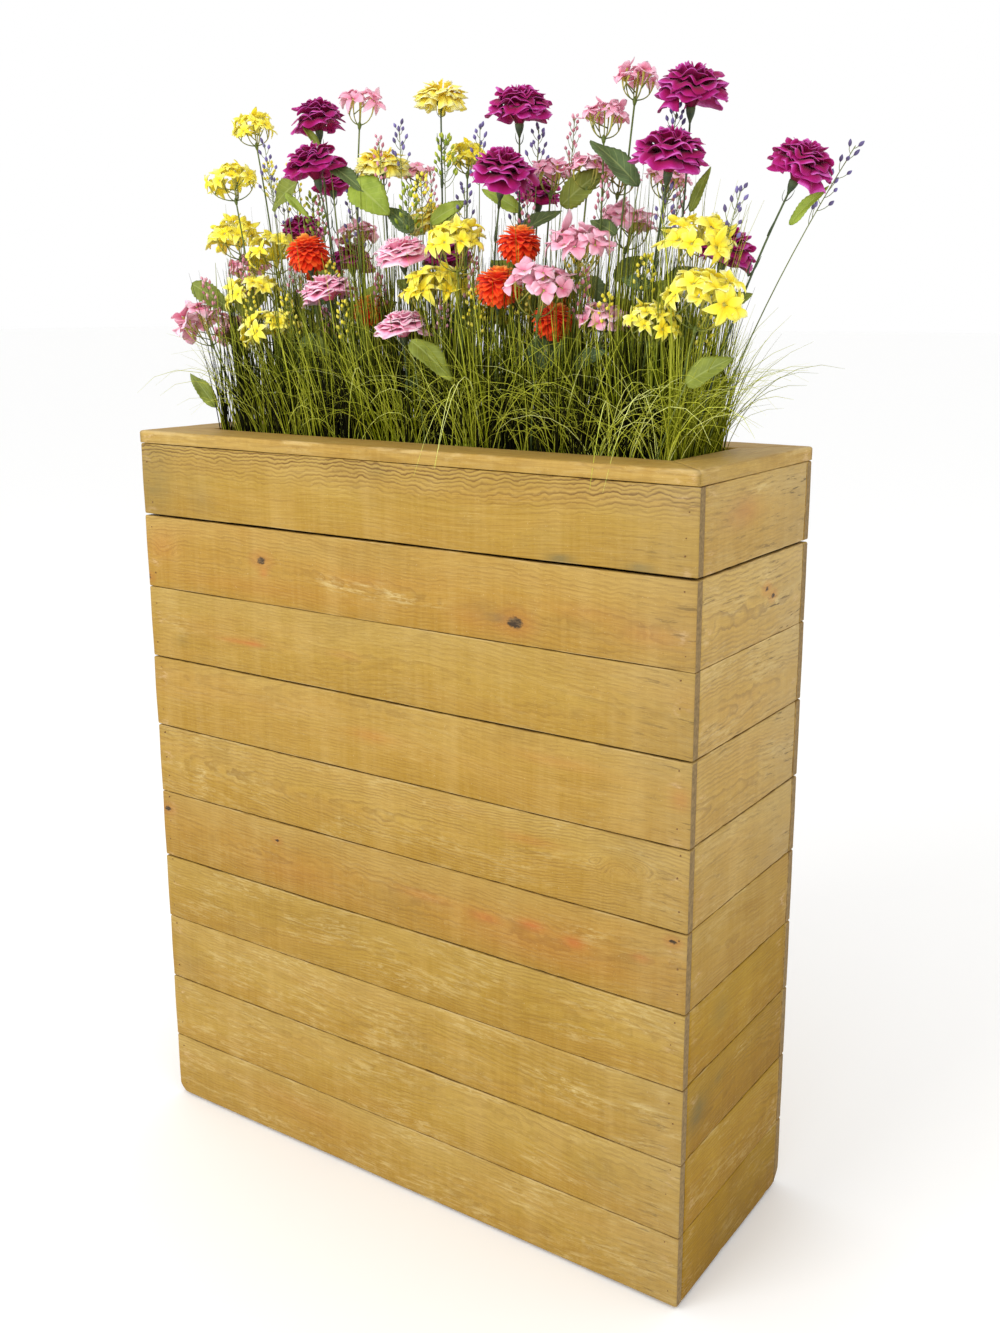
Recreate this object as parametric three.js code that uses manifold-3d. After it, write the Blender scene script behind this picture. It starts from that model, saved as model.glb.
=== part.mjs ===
// A tall floor-standing planter: a box clad in ten courses of softwood boards on every side, with a
// mitred cap frame round its mouth, and a bed of silk meadow flowers and grass planted in a block inside.
// Millimetres, +Z up. X runs along the width, to the right seen from the front; the front faces -Y.
// The origin is the middle of the underside of the base board, on which the planter stands.

import * as THREE from 'three';
import { mergeVertices } from 'three/addons/utils/BufferGeometryUtils.js';
import Module from 'manifold-3d';

const wasm = await Module();
wasm.setup();

// ---- Driving dimensions -------------------------------------------------------------------------

const WIDTH = 860; // over the front boards, end to end
const DEPTH = 306; // over the faces of the front and back boards
const COURSES = 10; // boards on each side, one above the other
const COURSE = 100; // pitch of the boards
const BOARD = 14; // thickness of a wall board
const JOINT = 2.6; // open joint between two boards
const EASE = 2; // eased edge of a board
const GROOVE = 8.4; // depth to which the joints are open
const STANDOFF = 4; // the base board reaches this far below the wall boards
const CAP = 17; // thickness of the cap frame
const CAP_WIDE = 70; // width of the cap boards
const CAP_ROUND = 3.5; // rounding of the cap boards' edges
const POST = 30; // square corner posts
const BASE = 18; // thickness of the base board
const SHELF = 12; // thickness of the shelf that carries the planting block
const SHELF_TOP = 880;
const CLEAT_HIGH = 30;
const CLEAT_DEEP = 20;
const BLOCK = { long: 780, deep: 200, high: 60 }; // planting block
const TURF = { long: 690, deep: 140, high: 12 }; // woven mat that the grass is tufted into
const SEAT = 0.3; // clearance between a piece and what carries it

const WALL_HIGH = COURSES * COURSE;
const WALL_TOP = STANDOFF + WALL_HIGH;
const RIM = WALL_TOP + CAP; // top of the cap frame
const MOUTH = { x: WIDTH / 2 - CAP_WIDE, y: DEPTH / 2 - CAP_WIDE }; // half sizes of the mouth
const BLOCK_TOP = SHELF_TOP + SEAT + BLOCK.high;
const TURF_TOP = BLOCK_TOP + SEAT + TURF.high;

// ---- Materials ----------------------------------------------------------------------------------

const finish = (color, roughness) => new THREE.MeshStandardMaterial({ color, roughness, metalness: 0 });
const pine = finish('#c9a35c', 0.6);
const roughPine = finish('#b8955c', 0.8);
const foam = finish('#3f5a35', 0.95);
const leafGreen = finish('#5f7d2c', 0.7);
const silk = {
  carnation_purple: finish('#8a1466', 0.8),
  carnation_pink: finish('#e58fb0', 0.8),
  umbel_yellow: finish('#f0d62e', 0.75),
  umbel_pink: finish('#e9a3b8', 0.75),
  mum_yellow: finish('#f2cf2a', 0.8),
  pompon_orange: finish('#e6431a', 0.8),
};

// ---- The planting -------------------------------------------------------------------------------

// Each bloom: where the middle of its petals stands, and how wide it is.
// A leaf is given where one shows: how far up the stem it grows, its heading and rise in degrees, and
// its length and breadth.
const BLOOMS = [
  { kind: 'carnation_purple', x: -230, y: 10, z: 1435, wide: 70 },
  { kind: 'carnation_purple', x: -200, y: -35, z: 1370, wide: 78 },
  { kind: 'carnation_purple', x: 110, y: -15, z: 1420, wide: 74 },
  { kind: 'carnation_purple', x: 110, y: -50, z: 1345, wide: 78 },
  { kind: 'carnation_purple', x: 330, y: 0, z: 1425, wide: 78 },
  { kind: 'carnation_purple', x: 325, y: -35, z: 1355, wide: 82 },
  {
    kind: 'carnation_purple', x: 475, y: -25, z: 1335, wide: 72,
    leaf: { at: 0.72, heading: 34, rise: 50, long: 62, broad: 13 },
  },
  { kind: 'carnation_purple', x: 355, y: 50, z: 1255, wide: 72 },
  { kind: 'carnation_purple', x: -50, y: 55, z: 1255, wide: 66 },
  {
    kind: 'umbel_yellow', x: -360, y: 20, z: 1435, wide: 62,
    leaf: { at: 0.72, heading: 30, rise: 12, long: 58, broad: 30 },
  },
  { kind: 'umbel_yellow', x: -385, y: 0, z: 1365, wide: 70 },
  { kind: 'umbel_yellow', x: -405, y: 20, z: 1290, wide: 78 },
  { kind: 'mum_yellow', x: -25, y: 10, z: 1450, wide: 62 },
  {
    kind: 'mum_yellow', x: -125, y: 15, z: 1375, wide: 68,
    leaf: { at: 0.84, heading: 40, rise: 2, long: 56, broad: 36 },
  },
  { kind: 'umbel_yellow', x: -20, y: 60, z: 1380, wide: 56 },
  { kind: 'umbel_yellow', x: -320, y: 10, z: 1270, wide: 80 },
  { kind: 'umbel_yellow', x: -320, y: -40, z: 1210, wide: 82 },
  { kind: 'umbel_yellow', x: -270, y: -55, z: 1160, wide: 84 },
  { kind: 'umbel_yellow', x: 45, y: -60, z: 1270, wide: 84 },
  { kind: 'umbel_yellow', x: 5, y: -45, z: 1215, wide: 90 },
  { kind: 'umbel_yellow', x: 365, y: -45, z: 1265, wide: 90 },
  {
    kind: 'umbel_yellow', x: 390, y: -70, z: 1205, wide: 88,
    leaf: { at: 0.5, heading: 20, rise: 12, long: 56, broad: 32 },
  },
  { kind: 'umbel_yellow', x: 325, y: -65, z: 1175, wide: 64 },
  { kind: 'umbel_pink', x: -155, y: 10, z: 1450, wide: 68 },
  { kind: 'umbel_pink', x: 215, y: 5, z: 1405, wide: 60 },
  {
    kind: 'umbel_pink', x: 250, y: 20, z: 1445, wide: 58,
    leaf: { at: 0.68, heading: 212, rise: 42, long: 80, broad: 34 },
  },
  { kind: 'umbel_pink', x: 125, y: 35, z: 1350, wide: 62 },
  {
    kind: 'umbel_pink', x: 190, y: 15, z: 1350, wide: 60,
    leaf: { at: 0.86, heading: 215, rise: -20, long: 46, broad: 28 },
  },
  { kind: 'umbel_pink', x: 220, y: -55, z: 1260, wide: 84 },
  { kind: 'umbel_pink', x: 185, y: -85, z: 1215, wide: 84 },
  { kind: 'umbel_pink', x: 250, y: -45, z: 1175, wide: 72 },
  { kind: 'umbel_pink', x: -200, y: 50, z: 1285, wide: 66 },
  { kind: 'umbel_pink', x: 230, y: 45, z: 1290, wide: 76 },
  {
    kind: 'umbel_pink', x: -425, y: -35, z: 1170, wide: 88,
    leaf: { at: 0.56, heading: 214, rise: 40, long: 60, broad: 30 },
  },
  { kind: 'carnation_pink', x: -45, y: -50, z: 1255, wide: 72 },
  { kind: 'carnation_pink', x: -165, y: -55, z: 1210, wide: 74 },
  {
    kind: 'carnation_pink', x: -30, y: -70, z: 1165, wide: 72,
    leaf: { at: 0.86, heading: 20, rise: -28, long: 56, broad: 30 },
  },
  { kind: 'pompon_orange', x: -210, y: -40, z: 1255, wide: 60 },
  { kind: 'pompon_orange', x: 120, y: -30, z: 1260, wide: 56 },
  { kind: 'pompon_orange', x: 110, y: -60, z: 1210, wide: 58 },
  { kind: 'pompon_orange', x: 175, y: -40, z: 1170, wide: 52 },
  { kind: 'pompon_orange', x: -120, y: -20, z: 1180, wide: 52 },
];

// The blooms at the back of the bed are joined to the greenery.
const REAR_BLOOMS = [
  { kind: 'umbel_pink', x: -410, y: 50, z: 1245, wide: 64 },
  { kind: 'carnation_purple', x: -265, y: 75, z: 1360, wide: 56 },
  { kind: 'carnation_purple', x: -330, y: 80, z: 1295, wide: 64 },
  { kind: 'carnation_purple', x: 80, y: 75, z: 1330, wide: 60 },
  { kind: 'carnation_purple', x: -225, y: 65, z: 1255, wide: 58 },
  { kind: 'mum_yellow', x: -85, y: 75, z: 1310, wide: 74 },
  { kind: 'umbel_pink', x: 195, y: 80, z: 1345, wide: 54 },
  { kind: 'umbel_pink', x: -125, y: 85, z: 1365, wide: 48 },
  { kind: 'umbel_pink', x: 260, y: 85, z: 1340, wide: 60 },
  { kind: 'pompon_orange', x: -285, y: 75, z: 1230, wide: 58 },
  { kind: 'pompon_orange', x: 105, y: 80, z: 1205, wide: 52 },
  { kind: 'umbel_yellow', x: 15, y: 60, z: 1175, wide: 58 },
  { kind: 'umbel_pink', x: -445, y: 45, z: 1155, wide: 60 },
];

// Slim flowering spikes between the blooms: the foot on the turf, and the tip.
const SPIKES = [
  { foot: [335, 20], tip: [520, 5, 1370] },
  { foot: [330, -40], tip: [412, -40, 1322] },
  { foot: [20, 25], tip: [35, 10, 1405] },
  { foot: [-60, 10], tip: [-75, -30, 1400] },
  { foot: [-140, 15], tip: [-165, 0, 1345] },
  { foot: [100, 55], tip: [130, 95, 1380] },
  { foot: [-260, 10], tip: [-285, 20, 1400] },
  { foot: [260, 25], tip: [275, 60, 1405] },
  { foot: [40, 60], tip: [0, 100, 1330] },
  { foot: [150, -20], tip: [150, -10, 1390] },
  { foot: [-320, 50], tip: [-365, 85, 1345] },
  { foot: [-320, -50], tip: [-375, -75, 1250] },
  { foot: [300, 60], tip: [330, 100, 1310] },
];

const GRASS = {
  seed: 41,
  clearance: 3.4, // between the middles of two blades or stems
  step: 6, // spacing of the points at which that is tested
  rooted: 4, // depth to which the feet are sunk into the turf
  kinds: [
    { count: 74, long: [200, 330], lean: [0, 5], droop: [4, 26], wide: 3, bends: 2 },
    { count: 76, long: [120, 240], lean: [4, 18], droop: [60, 150], wide: 3.4, bends: 3 },
  ],
};

// How deep the petals of each kind of bloom are, and how far below them its stem ends, over its width.
const HEAD = {
  carnation_purple: { thick: 0.6, neck: 0.18 },
  carnation_pink: { thick: 0.46, neck: 0.18 },
  umbel_yellow: { thick: 0.4, neck: 0.36 },
  umbel_pink: { thick: 0.36, neck: 0.36 },
  mum_yellow: { thick: 0.42, neck: 0.16 },
  pompon_orange: { thick: 0.94, neck: 0.08 },
};

// ---- Small helpers ------------------------------------------------------------------------------

const TURN = Math.PI * 2;
const UP = new THREE.Vector3(0, 0, 1);
const vec = (x, y, z) => new THREE.Vector3(x, y, z);
const clamp = THREE.MathUtils.clamp;
const lerp = THREE.MathUtils.lerp;

function seededRandom(seed) {
  let state = seed;
  return () => {
    state = (state + 0x6d2b79f5) | 0;
    let t = Math.imul(state ^ (state >>> 15), 1 | state);
    t = (t + Math.imul(t ^ (t >>> 7), 61 | t)) ^ t;
    return ((t ^ (t >>> 14)) >>> 0) / 4294967296;
  };
}

function closedMesh(points, faces) {
  const geometry = new THREE.BufferGeometry();
  geometry.setAttribute('position', new THREE.Float32BufferAttribute(points.flatMap((p) => p.toArray()), 3));
  geometry.setIndex(faces);
  return geometry;
}

// A closed skin over rings of points, with a point at each end. Each ring turns to the left as seen
// from the end. On a flat blade the lower half of each ring is split as the upper half is.
function skin(start, rings, end, flat = false) {
  const sides = rings[0].length;
  const points = [start, ...rings.flat(), end];
  const endIndex = points.length - 1;
  const faces = [];
  for (let i = 0; i < sides; i += 1) {
    const j = (i + 1) % sides;
    faces.push(0, 1 + j, 1 + i);
    for (let r = 0; r + 1 < rings.length; r += 1) {
      const a = 1 + r * sides;
      const b = a + sides;
      if (flat && i >= sides / 2) faces.push(a + i, a + j, b + i, a + j, b + j, b + i);
      else faces.push(a + i, a + j, b + j, a + i, b + j, b + i);
    }
    faces.push(endIndex - sides + i, endIndex - sides + j, endIndex);
  }
  return closedMesh(points, faces);
}

function toSolid(geometry) {
  const bare = geometry.clone();
  bare.deleteAttribute('normal');
  bare.deleteAttribute('uv');
  const merged = mergeVertices(bare, 1e-4);
  const mesh = new wasm.Mesh({
    numProp: 3,
    vertProperties: new Float32Array(merged.attributes.position.array),
    triVerts: new Uint32Array(merged.index.array),
  });
  return new wasm.Manifold(mesh);
}

function toGeometry(solid) {
  const mesh = solid.getMesh();
  const geometry = new THREE.BufferGeometry();
  geometry.setAttribute('position', new THREE.Float32BufferAttribute(Array.from(mesh.vertProperties), 3));
  geometry.setIndex(Array.from(mesh.triVerts));
  return geometry;
}

// Joins closed meshes into one body: a hollow sealed between them is filled, a loose scrap dropped.
function join(geometries) {
  const whole = geometries.map(toSolid).reduce((sum, part) => sum.add(part));
  const skins = whole.decompose();
  return skins.reduce((main, other) => (other.volume() > main.volume() ? other : main));
}

const planter = new THREE.Group();

function piece(name, geometry, material, place = vec(0, 0, 0), turn = 0) {
  const mesh = new THREE.Mesh(geometry, material);
  mesh.name = name;
  mesh.position.copy(place);
  mesh.rotation.z = turn;
  planter.add(mesh);
  return mesh;
}

// ---- The timber box -----------------------------------------------------------------------------

// Section through a wall: x is measured inwards from the boards' faces and y up from the lowest edge.
function wallSection() {
  const section = new THREE.Shape();
  section.moveTo(BOARD, 0);
  section.lineTo(BOARD, WALL_HIGH - SEAT);
  for (let course = COURSES; course > 0; course -= 1) {
    const top = course === COURSES ? WALL_HIGH - SEAT : course * COURSE - JOINT / 2;
    const foot = course === 1 ? 0 : (course - 1) * COURSE + JOINT / 2;
    if (course < COURSES) section.lineTo(GROOVE, top);
    section.lineTo(EASE, top);
    section.lineTo(0, top - EASE);
    section.lineTo(0, foot + EASE);
    section.lineTo(EASE, foot);
    if (course > 1) section.lineTo(GROOVE, foot);
  }
  return section;
}

// A wall of boards, extruded end to end; its outer face lies at -reach along Y before it is turned.
function wall(name, long, reach, turn) {
  const geometry = new THREE.ExtrudeGeometry(wallSection(), { depth: long, bevelEnabled: false });
  const boards = new THREE.Matrix4().makeBasis(vec(0, 1, 0), UP, vec(1, 0, 0));
  boards.setPosition(-long / 2, -reach, STANDOFF);
  geometry.applyMatrix4(boards);
  piece(name, geometry, pine, vec(0, 0, 0), turn);
}

// The long walls run the full width and the short walls stand between them.
function walls() {
  const between = DEPTH - 2 * BOARD - 2 * SEAT;
  wall('front_boards', WIDTH, DEPTH / 2, 0);
  wall('back_boards', WIDTH, DEPTH / 2, Math.PI);
  wall('right_boards', between, WIDTH / 2, Math.PI / 2);
  wall('left_boards', between, WIDTH / 2, -Math.PI / 2);
}

// A cap board seen from above: full length outside, shorter by a mitre at each end inside.
function capBoard(name, long, reach, turn) {
  const half = long / 2 - SEAT;
  const plan = new THREE.Shape();
  plan.moveTo(-half, -reach);
  plan.lineTo(half, -reach);
  plan.lineTo(half - CAP_WIDE, -reach + CAP_WIDE);
  plan.lineTo(-half + CAP_WIDE, -reach + CAP_WIDE);
  const rounding = {
    depth: CAP - 2 * CAP_ROUND,
    bevelThickness: CAP_ROUND,
    bevelSize: CAP_ROUND,
    bevelOffset: -CAP_ROUND,
    bevelSegments: 3,
  };
  const geometry = new THREE.ExtrudeGeometry(plan, rounding);
  piece(name, geometry, pine, vec(0, 0, WALL_TOP + CAP_ROUND), turn);
}

function capFrame() {
  capBoard('cap_front', WIDTH, DEPTH / 2, 0);
  capBoard('cap_back', WIDTH, DEPTH / 2, Math.PI);
  capBoard('cap_right', DEPTH, WIDTH / 2, Math.PI / 2);
  capBoard('cap_left', DEPTH, WIDTH / 2, -Math.PI / 2);
}

// Posts in the corners, standing on the base board; the wall boards are nailed to them.
function frameInside() {
  const inner = { x: WIDTH / 2 - BOARD - SEAT, y: DEPTH / 2 - BOARD - SEAT };
  const base = new THREE.BoxGeometry(2 * inner.x, 2 * inner.y, BASE);
  piece('base_board', base, roughPine, vec(0, 0, BASE / 2));
  const postHigh = WALL_TOP - BASE - 2 * SEAT;
  for (const [side, x] of [['left', -1], ['right', 1]]) {
    for (const [face, y] of [['front', -1], ['back', 1]]) {
      const post = new THREE.BoxGeometry(POST, POST, postHigh);
      const place = vec(x * (inner.x - POST / 2), y * (inner.y - POST / 2), BASE + SEAT + postHigh / 2);
      piece(`post_${face}_${side}`, post, roughPine, place);
    }
  }
  shelf(inner);
  cleats(inner);
}

// The shelf is notched round the posts.
function shelf(inner) {
  const notch = POST + SEAT;
  const plan = new THREE.Shape();
  plan.moveTo(-inner.x + notch, -inner.y);
  const corners = [[1, -1], [1, 1], [-1, 1], [-1, -1]];
  for (const [x, y] of corners) {
    const along = [x * (inner.x - notch), y * inner.y];
    const inside = [x * (inner.x - notch), y * (inner.y - notch)];
    const across = [x * inner.x, y * (inner.y - notch)];
    const turns = x * y < 0 ? [along, inside, across] : [across, inside, along];
    for (const [px, py] of turns) plan.lineTo(px, py);
  }
  const geometry = new THREE.ExtrudeGeometry(plan, { depth: SHELF, bevelEnabled: false });
  piece('shelf', geometry, roughPine, vec(0, 0, SHELF_TOP - SHELF));
}

// Battens under the long edges of the shelf, nailed to the long walls between the posts.
function cleats(inner) {
  const long = 2 * (inner.x - POST - SEAT);
  const z = SHELF_TOP - SHELF - SEAT - CLEAT_HIGH / 2;
  for (const [face, y] of [['front', -1], ['back', 1]]) {
    const cleat = new THREE.BoxGeometry(long, CLEAT_DEEP, CLEAT_HIGH);
    piece(`cleat_${face}`, cleat, roughPine, vec(0, y * (inner.y - CLEAT_DEEP / 2), z));
  }
}

function plantingBlock() {
  const block = new THREE.BoxGeometry(BLOCK.long, BLOCK.deep, BLOCK.high);
  piece('planting_block', block, foam, vec(0, 0, BLOCK_TOP - BLOCK.high / 2));
}

// ---- Blooms -------------------------------------------------------------------------------------

// One ring of a petalled head: every other point stands out by the frill and up by the wave.
function frilledRing(count, random, { r, z, frill = 0, wave = 0, shift = 0 }) {
  const ring = [];
  for (let i = 0; i < count; i += 1) {
    const side = i % 2 ? -1 : 1;
    const angle = ((i + shift) / count) * TURN;
    const out = r * (1 + frill * side + frill * 0.5 * (random() - 0.5));
    const up = z + wave * side + wave * (random() - 0.5);
    ring.push(vec(out * Math.cos(angle), out * Math.sin(angle), up));
  }
  return ring;
}

// A double carnation: three layers of frilled petals, each smaller and higher, over a green cup.
function carnation(wide, { thick, neck }, random, petals) {
  const R = (wide / 2) * 0.93;
  const T = wide * thick;
  const C = wide * neck;
  const rings = [
    { r: 1.7, z: 0 },
    { r: R * 0.14, z: C * 0.8 },
    { r: R, z: C + T * 0.2, frill: 0.08, wave: T * 0.06 },
    { r: R * 0.68, z: C + T * 0.44 },
    { r: R * 0.86, z: C + T * 0.62, frill: 0.12, wave: T * 0.07, shift: 0.6 },
    { r: R * 0.44, z: C + T * 0.72 },
    { r: R * 0.52, z: C + T * 0.94, frill: 0.2, wave: T * 0.06, shift: 1.1 },
  ];
  const layers = rings.map((ring) => frilledRing(petals * 2, random, ring));
  return skin(vec(0, 0, 0), layers, vec(0, 0, C + T * 0.84));
}

// A shaggy flower of long narrow petals in two layers.
function mum(wide, { thick, neck }, random, petals) {
  const R = wide / 2;
  const T = wide * thick;
  const C = wide * neck;
  const rings = [
    { r: 1.7, z: 0 },
    { r: R * 0.16, z: C * 0.85 },
    { r: R * 0.72, z: C + T * 0.36, frill: 0.36, wave: -T * 0.1 },
    { r: R * 0.34, z: C + T * 0.62 },
    { r: R * 0.52, z: C + T * 0.86, frill: 0.38, wave: T * 0.08, shift: 1 },
  ];
  const layers = rings.map((ring) => frilledRing(petals * 2, random, ring));
  return skin(vec(0, 0, 0), layers, vec(0, 0, C + T * 0.7));
}

// A ball of short petals, raised from the sphere at every other point of every ring.
function pompon(wide, { thick, neck }, random, petals) {
  const R = (wide / 2) * 0.9;
  const T = (wide * thick) / 2;
  const C = wide * neck;
  const bands = 7;
  const layers = [frilledRing(petals * 2, random, { r: 1.7, z: 0 })];
  for (let band = 1; band < bands; band += 1) {
    const polar = Math.PI * (1 - band / bands);
    const r = R * Math.sin(polar);
    const z = C + T + T * 0.92 * Math.cos(polar);
    const raised = band % 2 ? 0.11 : -0.11;
    layers.push(frilledRing(petals * 2, random, { r, z, frill: raised, wave: T * 0.05 }));
  }
  return skin(vec(0, 0, 0), layers, vec(0, 0, C + 2 * T * 0.97));
}

// Joins a lower ring of points to an upper one with another count, both starting at one angle.
function stitch(lower, upper) {
  const faces = [];
  let i = 0;
  let j = 0;
  while (i < lower.length || j < upper.length) {
    const a = lower[i % lower.length];
    const b = upper[j % upper.length];
    if (j === upper.length || (i + 1) / lower.length < (j + 1) / upper.length) {
      i += 1;
      faces.push(a, lower[i % lower.length], b);
    } else {
      j += 1;
      faces.push(a, upper[j % upper.length], b);
    }
  }
  return faces;
}

// One star floret on its thin three-sided stalk, which starts in the hub at the head's foot.
function floret(middle, axis, R, petals, turn) {
  const face = new THREE.Quaternion().setFromUnitVectors(UP, axis);
  const at = (r, share, z) => {
    const angle = share * TURN + turn;
    return vec(r * Math.cos(angle), r * Math.sin(angle), z).applyQuaternion(face).add(middle);
  };
  const neck = [0, 1, 2].map((k) => at(R * 0.15, k / 3, -R * 0.45));
  const rim = [];
  for (let k = 0; k < petals; k += 1) {
    rim.push(at(R, k / petals, -R * 0.08));
    rim.push(at(R * 0.5, (k + 0.5) / petals, 0));
  }
  const points = [vec(0, 0, 4), ...neck, ...rim, at(0, 0, -R * 0.12)];
  const neckAt = neck.map((_, k) => 1 + k);
  const rimAt = rim.map((_, k) => 4 + k);
  const faces = [...stitch([0], neckAt), ...stitch(neckAt, rimAt), ...stitch(rimAt, [points.length - 1])];
  return closedMesh(points, faces);
}

// A loose head of star florets: one in the middle and a ring about it, on stalks from one hub.
function umbel(wide, { thick, neck }, random, petals, around) {
  const R = wide * { 4: 0.22, 5: 0.2, 6: 0.175 }[around];
  const T = wide * thick;
  const C = wide * neck;
  const splay = THREE.MathUtils.degToRad(38);
  const hubRings = [{ r: 1.7, z: 0 }, { r: 3.8, z: 4 }].map((ring) => frilledRing(5, random, ring));
  const parts = [skin(vec(0, 0, 0), hubRings, vec(0, 0, 8.5))];
  parts.push(floret(vec(0, 0, C + T), UP, R, petals, random() * TURN));
  for (let i = 0; i < around; i += 1) {
    const angle = (i / around) * TURN + (random() - 0.5) * 0.1;
    const out = vec(Math.cos(angle), Math.sin(angle), 0);
    const middle = out.clone().multiplyScalar(wide / 2 - R * Math.cos(splay));
    middle.z = C + T * (0.42 + 0.2 * (random() - 0.5));
    const axis = out.clone().multiplyScalar(Math.sin(splay)).addScaledVector(UP, Math.cos(splay));
    parts.push(floret(middle, axis.normalize(), R, petals, random() * TURN));
  }
  return toGeometry(join(parts));
}

// The head of a bloom in its own frame: its foot at the origin, its axis up.
function headOf(kind, wide, random, rear = false) {
  const size = HEAD[kind];
  const ring = wide > 86 ? 6 : 5;
  const around = rear || wide < 64 ? 4 : ring;
  if (kind === 'umbel_yellow') return umbel(wide, size, random, 5, around);
  if (kind === 'umbel_pink') return umbel(wide, size, random, 4, around);
  if (kind === 'mum_yellow') return mum(wide, size, random, rear ? 7 : 9);
  if (kind === 'pompon_orange') return pompon(wide, size, random, rear ? 4 : 5);
  return carnation(wide, size, random, rear ? 5 : 6);
}

// ---- Stems --------------------------------------------------------------------------------------

// The rings of a thin three-sided rod through the given points. halves holds half its width at each
// point, and flatness is its thickness over its width.
function rod(points, halves, flatness = 1) {
  return points.map((point, i) => {
    const ahead = points[Math.min(i + 1, points.length - 1)];
    const behind = points[Math.max(i - 1, 0)];
    const along = ahead.clone().sub(behind).normalize();
    const across = vec(-along.y, along.x, 0);
    if (across.length() < 0.05) across.set(0, 1, 0);
    across.normalize();
    const over = along.clone().cross(across);
    return [0, 1, 2].map((corner) => {
      const angle = (corner / 3) * TURN;
      const edge = point.clone().addScaledVector(across, halves[i] * Math.cos(angle));
      return edge.addScaledVector(over, halves[i] * flatness * Math.sin(angle));
    });
  });
}

// Room taken by the blooms: a stem or blade stays out of it. A head is a spheroid, neck included.
function insideHead(point, heads, gap, own) {
  return heads.some((head) => {
    if (head === own) return false;
    const { thick, neck } = HEAD[head.kind];
    const half = (head.wide * (thick + neck)) / 2;
    const z = head.z - (head.wide * neck) / 2;
    const flat = Math.hypot(point.x - head.x, point.y - head.y) / (head.wide / 2 + gap);
    return flat ** 2 + ((point.z - z) / (half + gap)) ** 2 < 1;
  });
}

// The greenery stays inside the mouth until it is above the rim.
function insideTimber(point) {
  const free = 3;
  if (point.z > RIM + free) return false;
  return Math.abs(point.x) > MOUTH.x - free || Math.abs(point.y) > MOUTH.y - free;
}

// Whether a line of points comes closer than the gap to one that already stands.
function tooClose(points, taken, gap) {
  const near = (point, other) => {
    if (other.box.distanceToPoint(point) > gap) return false;
    return other.points.some((theirs) => point.distanceTo(theirs) < gap);
  };
  return taken.some((other) => points.some((point) => near(point, other)));
}

function claim(points, taken) {
  taken.push({ points, box: new THREE.Box3().setFromPoints(points) });
}

// Half sizes of the patch of turf in which the stems have their feet.
const FEET = { x: TURF.long / 2 - 13, y: TURF.deep / 2 - 8 };

// How far a stem's foot shifts and how far it bows, in the order in which they are tried.
const BOWS = [0, 10, 20, 32, 46].flatMap((bow) => [0, 12, 26, 42].map((shift) => [shift, bow]));

const spaced = (curve, step) => curve.getSpacedPoints(Math.ceil(curve.getLength() / step));

// A stem rises from the turf, nearer the middle than its bloom, and leans out to it. Where it would
// meet another bloom or stem, it bows aside.
function stemTo(bloom, heads, taken) {
  const middle = vec(bloom.x, bloom.y, bloom.z);
  const below = bloom.wide * (HEAD[bloom.kind].thick / 2 + HEAD[bloom.kind].neck);
  for (const [shift, bow] of BOWS) {
    for (let way = 0; way < 12; way += 1) {
      const angle = (way / 12) * TURN;
      const aside = vec(Math.cos(angle), Math.sin(angle), 0);
      const foot = vec(bloom.x * 0.84, bloom.y * 0.8, TURF_TOP - GRASS.rooted).addScaledVector(aside, shift);
      foot.x = clamp(foot.x, -FEET.x, FEET.x);
      foot.y = clamp(foot.y, -FEET.y, FEET.y);
      const knee = foot.clone().lerp(middle, 0.5);
      knee.x = lerp(foot.x, middle.x, 0.3) + bow * aside.x;
      knee.y = lerp(foot.y, middle.y, 0.3) + bow * aside.y;
      const axis = middle.clone().sub(knee).normalize();
      const tip = middle.clone().addScaledVector(axis, -below);
      const curve = new THREE.QuadraticBezierCurve3(foot, knee, tip);
      const points = spaced(curve, GRASS.step);
      const blocked = points.some((p) => insideTimber(p) || insideHead(p, heads, 2, bloom));
      if (!blocked && !tooClose(points, taken, GRASS.clearance)) {
        claim(points, taken);
        return { curve, axis, tip };
      }
    }
  }
  throw new Error(`no clear way for the stem of the ${bloom.kind} at ${bloom.x}, ${bloom.y}, ${bloom.z}`);
}

function stemSkin({ curve }) {
  const points = curve.getPoints(3);
  return skin(points[0], rod(points, [1.9, 1.7, 1.5, 1.4]), points[3]);
}

// A toothed leaf with a folded midrib, from a point on its stem.
function leafOf(stem, { at, heading, rise, long, broad }) {
  const root = stem.curve.getPoint(at);
  const bearing = THREE.MathUtils.degToRad(heading);
  const climb = THREE.MathUtils.degToRad(rise);
  const out = vec(Math.cos(bearing), Math.sin(bearing), 0);
  const across = vec(-out.y, out.x, 0);
  const half = 0.45; // half the leaf's thickness
  const stations = [0.12, 0.34, 0.5, 0.66, 0.84];
  const widths = [0.14, 0.95, 0.8, 0.86, 0.5];
  const rings = stations.map((s, k) => {
    const sag = long * 0.3 * s * s;
    const mid = root.clone().addScaledVector(out, long * s * Math.cos(climb));
    mid.z += long * s * Math.sin(climb) - sag;
    const w = (broad / 2) * widths[k];
    const edge = (side, lift) => mid.clone().addScaledVector(across, side * w).add(vec(0, 0, w * 0.3 + lift));
    const rib = (lift) => mid.clone().add(vec(0, 0, lift));
    return [edge(1, -half), rib(-half), edge(-1, -half), edge(-1, half), rib(half), edge(1, half)];
  });
  const end = root.clone().addScaledVector(out, long * Math.cos(climb));
  end.z += long * Math.sin(climb) - long * 0.3;
  return skin(root.clone().addScaledVector(out, -0.6), rings, end, true);
}

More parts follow.
